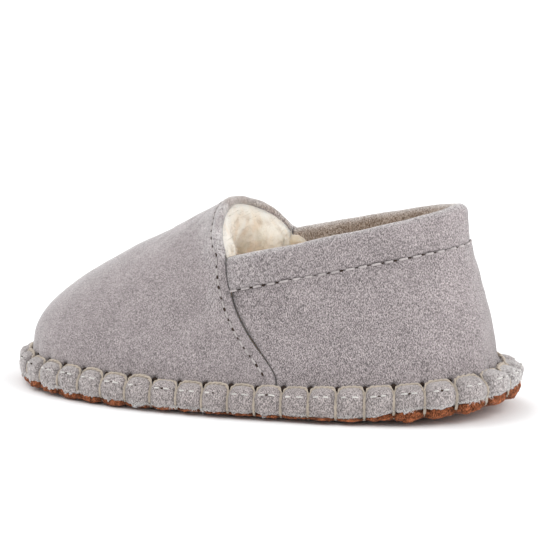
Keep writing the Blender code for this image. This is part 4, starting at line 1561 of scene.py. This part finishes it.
def build_hand_sewing(sewing, thread, dark):
    """Hand sewing of the rand: a thread over each puff, up one groove, along the top, down the next; holes.

    The thread follows the table of its points, mirrored past the middle, and goes on under the sole's edge.
    """
    size = sewing.hand_thread / MM / 2
    random = np.random.default_rng(SEED["hand"])
    middle, half = puff_spans()
    half = half - THREAD_PINCH * size / OUTLINE_ARC
    count = len(middle)
    side = np.array(THREAD_ARC)
    crown = side[-1:] * (0, 1, 1, 1, 1)
    mirror = side[::-1] * (-1, 1, 1, 1, 1)
    across, reach, height, off, thickness = np.concatenate([side, crown, mirror]).T[..., None]
    loose = 1 - across ** 2
    u = middle + (across + random.uniform(*THREAD_SWAY, (len(across), count)) * loose) * half
    off = np.radians(off)[..., None]
    stand = np.cos(off) * outward(u) + np.sin(off) * UP
    sag = random.uniform(*THREAD_SAG, count) * loose
    radius = size * thickness * random.uniform(*THREAD_GIRTH, count)
    over = rand_point(u, reach + 0 * u, height + sag) + (THREAD_STAND * radius)[..., None] * stand
    ends = (u[0], u[-1])
    edge = [sole_edge_point(end, blend_ends(end, THREAD_FOOT_INSET), THREAD_FOOT["edge"]) for end in ends]
    tuck = [sole_edge_point(end, SOLE_ROUND, THREAD_FOOT["tuck"]) for end in ends]
    knots = np.stack([tuck[0], edge[0], *over, edge[1], tuck[1]], axis=1)
    place = np.linspace(0, knots.shape[1] - 1, THREAD_SAMPLES)
    paths = smooth_curve(knots, place)
    radius = np.pad(radius, ((2, 2), (0, 0)), mode="edge")
    radius = smooth_curve(radius.T[..., None], place)[..., 0]
    hints = unit(outward(middle)[:, None] * THREAD_LEAN + UP)
    add_piece("hand_sewing", *twisted(paths, np.broadcast_to(hints, paths.shape), radius), thread)
    u = groove_places()
    holes = join_line(u) + HAND_HOLE["out"] * outward(u) + HAND_HOLE["up"] * UP
    track = Track(holes, unit(outward(u) + HAND_HOLE["lean"] * UP))
    radius = blend_ends(u, HOLE_STRENGTH) * (HAND_HOLE["size"] + HAND_HOLE["vary"] * groove_luck(u))
    pits = pits_on(track, track.run, radius, HAND_HOLE["rise"], HAND_HOLE["stretch"])
    return add_piece("hand_sewing_holes", *pits, dark)


def vamp_stitch_track(side):
    """Stitch line of one side of the vamp: along the throat's rim from the crown, then down beside its edge.

    Beside the edge, each row's place is where the distance to the edge equals the stitch line's: the rows are
    laid end to end, well apart, so that one interpolation finds them all.
    """
    samples = LINE_SAMPLES["rim"]
    rim_u = np.linspace(0, SEAM_U, samples) * side
    rim_drop = np.full(rim_u.size, STITCH_LINE)
    on_rim = seam_gap(skin(rim_u, wall_share(rim_u, rim_drop[None])[0]), side, samples) > STITCH_LINE
    t = np.linspace(1, 0, LINE_SAMPLES["rows"])
    near = np.linspace(SEAM_U, SEAM_U - SEAM_NEAR_U, LINE_SAMPLES["columns"]) * side
    apart = 1000.0 * np.arange(t.size)
    gaps = seam_gap(skin(near, t[:, None]), side, samples) + apart[:, None]
    seam_u = np.interp(STITCH_LINE + apart, np.maximum.accumulate(gaps.ravel()), np.tile(near, t.size))
    seam_drop = wall_drop(seam_u, t)
    below = seam_drop > STITCH_LINE
    u = np.concatenate([rim_u[on_rim], seam_u[below]])
    drop = np.concatenate([rim_drop[on_rim], seam_drop[below]])[None]
    window = LINE_SAMPLES["window"]
    padded = np.pad(vamp_face(u, drop)[0][0], ((window // 2, window // 2), (0, 0)), mode="edge")
    soft = np.stack([np.convolve(column, np.ones(window) / window, "valid") for column in padded.T], axis=-1)
    return Track(soft, skin_normal(u, wall_share(u, drop)[0]))


def sew_row(track, starts, pitch, thread, row, random):
    """Stitches along a track, a little irregular, and the hole behind each of them."""
    early, longer = random.uniform(-row.jitter, row.jitter, (2, starts.size))
    starts = starts + early
    lengths = pitch * row.share + longer
    stitches = stitches_on(track, starts, lengths, thread / 2 * row.thickness, row.rise, row.sink)
    radius = row.hole + random.uniform(-row.less, row.more, starts.size)
    return stitches, pits_on(track, starts + lengths + row.hole_after, radius, row.hole_rise, row.stretch)


def build_machine_sewing(sewing, light, grey, white, dark):
    """Stitch lines of vamp and collar and the short row on the rand, with their holes."""
    random = np.random.default_rng(SEED["machine"])
    thread = sewing.machine_thread / MM
    pitch = sewing.vamp_pitch / MM
    rows = []
    for side, start in VAMP_ROW_STARTS:
        track = vamp_stitch_track(side)
        starts = np.arange(pitch * start, track.length - VAMP_ROW_END, pitch)
        rows.append(sew_row(track, starts, pitch, thread, VAMP_ROW, random))
    add_piece("vamp_stitches", *joined(*(stitches for stitches, _ in rows)), light)
    first = SEAM_U + BAND_END_U - COLLAR_ROW_OVERLAP_U
    u = np.linspace(first, 2 - first, LINE_SAMPLES["collar"])
    t = wall_share(u, blend_ends(u, BAND_WIDTH)[None])[0]
    track = Track(wall_point(u, t, COLLAR_ROW_DEPTH), skin_normal(u, t))
    pitch = sewing.collar_pitch / MM
    starts = np.arange(COLLAR_ROW_START, track.length - pitch, pitch)
    rows.append(sew_row(track, starts, pitch, thread, COLLAR_ROW, random))
    add_piece("collar_stitches", *rows[-1][0], grey)
    u = np.linspace(0, 2, LINE_SAMPLES["rand"])
    track = Track(rand_point(u, *RAND_ROW_PLACE), unit(outward(u) + RAND_ROW_LEAN * UP))
    middle = np.interp(np.mod(puff_spans()[0], 2), u, track.run)
    gap = random.uniform(*RAND_ROW["gap"], middle.size)
    starts = np.concatenate([middle - gap / 2 - RAND_ROW["before"], middle + gap / 2])
    starts = starts[random.random(starts.size) < RAND_ROW["kept"]]
    lengths = random.uniform(*RAND_ROW["length"], starts.size)
    radius = sewing.row_thread / MM / 2
    row = stitches_on(track, starts, lengths, radius, RAND_ROW["rise"], RAND_ROW["sink"])
    add_piece("rand_row_stitches", *row, white)
    radius = RAND_HOLE["size"] + random.uniform(*RAND_HOLE["vary"], middle.size)
    pits = pits_on(track, middle, radius, RAND_HOLE["rise"], RAND_HOLE["stretch"])
    return add_piece("machine_holes", *joined(*(holes for _, holes in rows), pits), dark)


def build_fuzz(sewing, material):
    """Fibres of the rand's cut lower edge: short, curved, hanging and sticking out in ragged patches.

    Path = root + size times the place along it times a direction: out, aside with a curl, and down.
    """
    random = np.random.default_rng(SEED["fibres"])
    count = sewing.fuzz_count
    each = (count, 1, 1)
    u = np.sort(random.uniform(0, 2, count))
    roots = rand_point(u, random.uniform(*FIBRE_REACH, count), random.uniform(*FIBRE_HEIGHT, count))
    patch = FIBRE_PATCH["mean"] + ripples(roots, "fibre_patches")
    patch = np.clip(patch, FIBRE_PATCH["least"], FIBRE_PATCH["most"])[:, None, None]
    out = outward(u)
    along = np.cross(out, UP)
    place = np.linspace(0, 1, FIBRE_POINTS)[:, None]
    sweep = random.uniform(*FIBRE_SWEEP, each)
    flare = random.uniform(*FIBRE_FLARE, each)
    curl = random.uniform(*FIBRE_CURL, each)
    size = random.uniform(*FIBRE_SIZE, each) * patch
    direction = out[:, None] * flare + along[:, None] * (sweep + curl * place) - FIBRE_HANG * UP
    paths = roots[:, None] + size * place * direction
    paths[..., 2] = np.maximum(paths[..., 2], FIBRE_FLOOR)
    normals = np.repeat(along[:, None], len(place), axis=1) + FIBRE_NORMAL_TILT
    fibres = tubes(paths, normals, FIBRE_RADIUS * (FIBRE_ROOT_GIRTH - FIBRE_TAPER * place[:, 0]), sides=4)
    return add_piece("rand_fuzz", *fibres, material)


def colour_setting(name, description, default):
    """A colour property."""
    return FloatVectorProperty(
        name=name, description=description, subtype="COLOR", size=3, min=0, max=1, default=default
    )


def length_setting(name, description, size_mm, low_mm, high_mm):
    """A length property, given in millimetres and kept in metres."""
    return FloatProperty(
        name=name, description=description, subtype="DISTANCE", unit="LENGTH", precision=5,
        default=size_mm * MM, min=low_mm * MM, max=high_mm * MM,
    )


def number_setting(name, description, default, low, high):
    """A property that is a plain number."""
    return FloatProperty(name=name, description=description, default=default, min=low, max=high)


def count_setting(name, description, default, high):
    """A property that is a whole number."""
    return IntProperty(name=name, description=description, default=default, min=0, max=high)


def angle_setting(name, description, degrees):
    """An angle property."""
    return FloatProperty(
        name=name, description=description, subtype="ANGLE", unit="ROTATION", default=radians(degrees)
    )


class MoccasinFinish(bpy.types.PropertyGroup):
    """Colours of the hides, wool and threads."""

    upper: colour_setting("Upper", "Grey suede of vamp and quarter", (0.350, 0.311, 0.314))
    band: colour_setting("Band", "Suede of the collar band", (0.350, 0.311, 0.314))
    rand: colour_setting("Rand", "Suede of the puffed rand", (0.375, 0.334, 0.328))
    sole: colour_setting("Sole", "Rust-brown suede of the sole", (0.287, 0.097, 0.044))
    wool: colour_setting("Wool", "Cream of the sheepskin", (0.94, 0.868, 0.765))
    pelt: colour_setting("Pelt", "Tan patches in the wool", (0.85, 0.67, 0.48))
    hand_thread: colour_setting("Hand thread", "Cream thread of the rand", (0.575, 0.498, 0.415))
    light_thread: colour_setting("Vamp thread", "Pale thread of the vamp's stitches", (0.54, 0.50, 0.49))
    grey_thread: colour_setting("Collar thread", "Grey thread of the collar's stitches", (0.56, 0.512, 0.506))
    white_thread: colour_setting("Row thread", "White thread of the row on the rand", (0.74, 0.72, 0.69))
    fibre: colour_setting("Edge fibres", "White fibres of the rand's cut edge", (0.84, 0.81, 0.79))
    # Painted shade of the stitch holes, for the dark domes that stand for them
    hole: colour_setting("Holes", "Dark of the stitch holes", (0.045, 0.032, 0.026))


class MoccasinSewing(bpy.types.PropertyGroup):
    """Sizes of threads and stitches."""

    hand_thread: length_setting("Hand thread", "Diameter of the hand-sewing thread", 0.72, 0.3, 2.0)
    machine_thread: length_setting("Machine thread", "Diameter of the vamp and collar thread", 0.52, 0.2, 1.0)
    row_thread: length_setting("Row thread", "Diameter of the thread in the rand's short row", 0.4, 0.2, 1.0)
    vamp_pitch: length_setting("Vamp pitch", "Length of one stitch along the vamp's edge", 2.6, 1.0, 6.0)
    collar_pitch: length_setting("Collar pitch", "Length of one stitch along the collar", 3.2, 1.0, 6.0)
    fuzz_count: count_setting("Edge fibres", "Number of loose fibres along the rand's cut edge", 3800, 5000)


class MoccasinWool(bpy.types.PropertyGroup):
    """Sizes of the sheepskin."""

    lock_count: count_setting("Locks", "Number of wool locks on the lining", 3800, 5000)
    lock_length: length_setting("Lock length", "Mean length of a lock of wool", 1.8, 1.0, 10.0)
    lock_thickness: length_setting("Lock thickness", "Diameter of a lock at its root", 0.12, 0.1, 2.0)


class MoccasinStage(bpy.types.PropertyGroup):
    """Camera, lights and floor."""

    azimuth: angle_setting("Azimuth", "Turn of the camera round the shoe", 20.5)
    elevation: angle_setting("Elevation", "Height angle of the camera", 9.8)
    distance: length_setting("Distance", "Distance of the camera from its aim", 620.0, 100.0, 5000.0)
    lens: number_setting("Lens", "Focal length on a 36 mm sensor, in millimetres", 167.1, 20, 400)
    aim: FloatVectorProperty(
        name="Aim", description="Point that the camera looks at", subtype="XYZ", unit="LENGTH",
        size=3, default=(0.00284, 0.0, 0.02923),
    )
    sky: number_setting("Sky", "Strength of the even light from all round", 0.76, 0, 5)
    toe_light: number_setting("Toe light", "Strength of the soft light over the toe", 1.6, 0, 10)
    heel_light: number_setting("Heel light", "Strength of the soft light behind the heel", 1.7, 0, 10)
    floor: colour_setting("Floor", "Colour of the floor", (0.955, 0.955, 0.96))


class MoccasinSettings(bpy.types.PropertyGroup):
    """All the settings of the finish."""

    finish: PointerProperty(type=MoccasinFinish, name="Finish", description="Colours")
    sewing: PointerProperty(type=MoccasinSewing, name="Sewing", description="Threads and stitches")
    wool: PointerProperty(type=MoccasinWool, name="Wool", description="Sheepskin")
    stage: PointerProperty(type=MoccasinStage, name="Stage", description="Camera, lights and floor")


class MOCCASIN_OT_upper(bpy.types.Operator):
    """Build the vamp and the quarter"""

    bl_idname = "moccasin.upper"
    bl_label = "Upper"

    def execute(self, context):
        colour = context.scene.moccasin.finish.upper
        build_vamp(suede_material("vamp", colour))
        build_quarter(suede_material("quarter", colour))
        return {"FINISHED"}


class MOCCASIN_OT_collar(bpy.types.Operator):
    """Build the collar band"""

    bl_idname = "moccasin.collar"
    bl_label = "Collar band"

    def execute(self, context):
        build_band(suede_material("band", context.scene.moccasin.finish.band))
        return {"FINISHED"}


class MOCCASIN_OT_rand(bpy.types.Operator):
    """Build the puffed rand and the fibres of its cut edge"""

    bl_idname = "moccasin.rand"
    bl_label = "Rand"

    def execute(self, context):
        settings = context.scene.moccasin
        build_rand(suede_material("rand", settings.finish.rand))
        build_fuzz(settings.sewing, thread_material("rand_fibre", settings.finish.fibre))
        return {"FINISHED"}


class MOCCASIN_OT_outsole(bpy.types.Operator):
    """Build the rust-brown outsole"""

    bl_idname = "moccasin.outsole"
    bl_label = "Outsole"

    def execute(self, context):
        build_outsole(suede_material("sole", context.scene.moccasin.finish.sole))
        return {"FINISHED"}


class MOCCASIN_OT_sheepskin(bpy.types.Operator):
    """Build the lining, the sock and their wool"""

    bl_idname = "moccasin.sheepskin"
    bl_label = "Sheepskin"

    def execute(self, context):
        settings = context.scene.moccasin
        material = wool_material("sheepskin_wool", settings.finish.wool, settings.finish.pelt)
        build_lining(material)
        build_lining_wool(settings.wool, material)
        build_insole(material)
        build_insole_wool(settings.wool, material)
        return {"FINISHED"}


class MOCCASIN_OT_hand_sewing(bpy.types.Operator):
    """Build the hand sewing of the rand"""

    bl_idname = "moccasin.hand_sewing"
    bl_label = "Hand sewing"

    def execute(self, context):
        settings = context.scene.moccasin
        thread = thread_material("hand_thread", settings.finish.hand_thread)
        build_hand_sewing(settings.sewing, thread, pit_material("hand_holes", settings.finish.hole))
        return {"FINISHED"}


class MOCCASIN_OT_machine_sewing(bpy.types.Operator):
    """Build the stitch lines of the vamp, the collar and the rand"""

    bl_idname = "moccasin.machine_sewing"
    bl_label = "Machine sewing"

    def execute(self, context):
        settings = context.scene.moccasin
        light = thread_material("vamp_thread", settings.finish.light_thread)
        grey = thread_material("collar_thread", settings.finish.grey_thread)
        white = thread_material("row_thread", settings.finish.white_thread)
        dark = pit_material("machine_holes", tinted(settings.finish.hole, MACHINE_HOLE_TINT))
        build_machine_sewing(settings.sewing, light, grey, white, dark)
        return {"FINISHED"}


class MOCCASIN_OT_stage(bpy.types.Operator):
    """Set up the floor, the lights and the camera"""

    bl_idname = "moccasin.stage"
    bl_label = "Stage"

    def execute(self, context):
        scene = context.scene
        stage = scene.moccasin.stage
        add_floor(scene, stage)
        add_lights(scene, stage)
        add_camera(scene, stage)
        scene.view_settings.view_transform = "Standard"
        return {"FINISHED"}


def add_floor(scene, stage):
    """A wide pale plane just under the sole."""
    half, height = 3.0, -0.00002
    grain_mm, darker, bump_mm = 40.0, 0.995, 0.01
    corners = [(-half, -half, height), (half, -half, height), (half, half, height), (-half, half, height)]
    mesh = bpy.data.meshes.new("floor")
    mesh.from_pydata(corners, [], [(0, 1, 2, 3)])
    recipe = Recipe("floor_paper", roughness=0.9, specular_ior_level=0.1)
    grain = recipe.noise(grain_mm)
    colour = recipe.mix(grain, tinted(stage.floor, darker), tinted(stage.floor))
    mesh.materials.append(recipe.finish(colour, grain, bump_mm))
    floor = bpy.data.objects.new("floor", mesh)
    scene.collection.objects.link(floor)


def aim_at(item, location, backwards):
    """Places a light or camera so that it looks against a direction."""
    item.location = location
    item.rotation_euler = (-backwards).to_track_quat("-Z", "Y").to_euler()


def add_lights(scene, stage):
    """Even sky light, a soft light over the toe and one from behind the heel into the opening."""
    world = bpy.data.worlds.new("studio")
    world.use_nodes = True
    background = world.node_tree.nodes["Background"]
    background.inputs["Color"].default_value = (1.0, 1.0, 1.0, 1.0)
    background.inputs["Strength"].default_value = stage.sky
    scene.world = world
    lights = (
        ("toe_light", stage.toe_light, 70, Vector((-0.7, 0.15, 0.7))),
        ("heel_light", stage.heel_light, 50, Vector((0.75, 0.1, 0.55))),
    )
    for name, strength, spread_deg, side in lights:
        data = bpy.data.lights.new(name, "SUN")
        data.energy = strength
        data.angle = radians(spread_deg)
        lamp = bpy.data.objects.new(name, data)
        aim_at(lamp, side, side)
        scene.collection.objects.link(lamp)


def add_camera(scene, stage):
    """The camera at its angle round the shoe."""
    data = bpy.data.cameras.new("camera")
    data.lens = stage.lens
    data.sensor_width = 36.0
    data.clip_start = 0.01
    camera = bpy.data.objects.new("camera", data)
    turn, tilt = stage.azimuth, stage.elevation
    back = Vector((np.sin(turn) * np.cos(tilt), -np.cos(turn) * np.cos(tilt), np.sin(tilt)))
    aim_at(camera, Vector(stage.aim) + stage.distance * back, back)
    scene.collection.objects.link(camera)
    scene.camera = camera


OPERATORS = (
    MOCCASIN_OT_upper,
    MOCCASIN_OT_collar,
    MOCCASIN_OT_rand,
    MOCCASIN_OT_outsole,
    MOCCASIN_OT_sheepskin,
    MOCCASIN_OT_hand_sewing,
    MOCCASIN_OT_machine_sewing,
    MOCCASIN_OT_stage,
)


class MOCCASIN_PT_finish(bpy.types.Panel):
    """Sidebar panel with the pieces of the moccasin"""

    bl_idname = "MOCCASIN_PT_finish"
    bl_label = "Moccasin"
    bl_space_type = "VIEW_3D"
    bl_region_type = "UI"
    bl_category = "Moccasin"

    def draw(self, context):
        settings = context.scene.moccasin
        for operator in OPERATORS:
            self.layout.operator(operator.bl_idname)
        for group in (settings.finish, settings.sewing, settings.wool, settings.stage):
            box = self.layout.box()
            for name in group.__annotations__:
                box.prop(group, name)


GROUPS = (MoccasinFinish, MoccasinSewing, MoccasinWool, MoccasinStage, MoccasinSettings)
CLASSES = GROUPS + OPERATORS + (MOCCASIN_PT_finish,)


def register():
    """Registers the classes and the scene's settings."""
    for kind in CLASSES:
        bpy.utils.register_class(kind)
    bpy.types.Scene.moccasin = PointerProperty(type=MoccasinSettings)


def unregister():
    """Removes the scene's settings and the classes."""
    del bpy.types.Scene.moccasin
    for kind in reversed(CLASSES):
        bpy.utils.unregister_class(kind)


def main():
    """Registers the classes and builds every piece."""
    register()
    bpy.ops.moccasin.upper()
    bpy.ops.moccasin.collar()
    bpy.ops.moccasin.rand()
    bpy.ops.moccasin.outsole()
    bpy.ops.moccasin.sheepskin()
    bpy.ops.moccasin.hand_sewing()
    bpy.ops.moccasin.machine_sewing()
    bpy.ops.moccasin.stage()


if __name__ == "__main__":
    main()
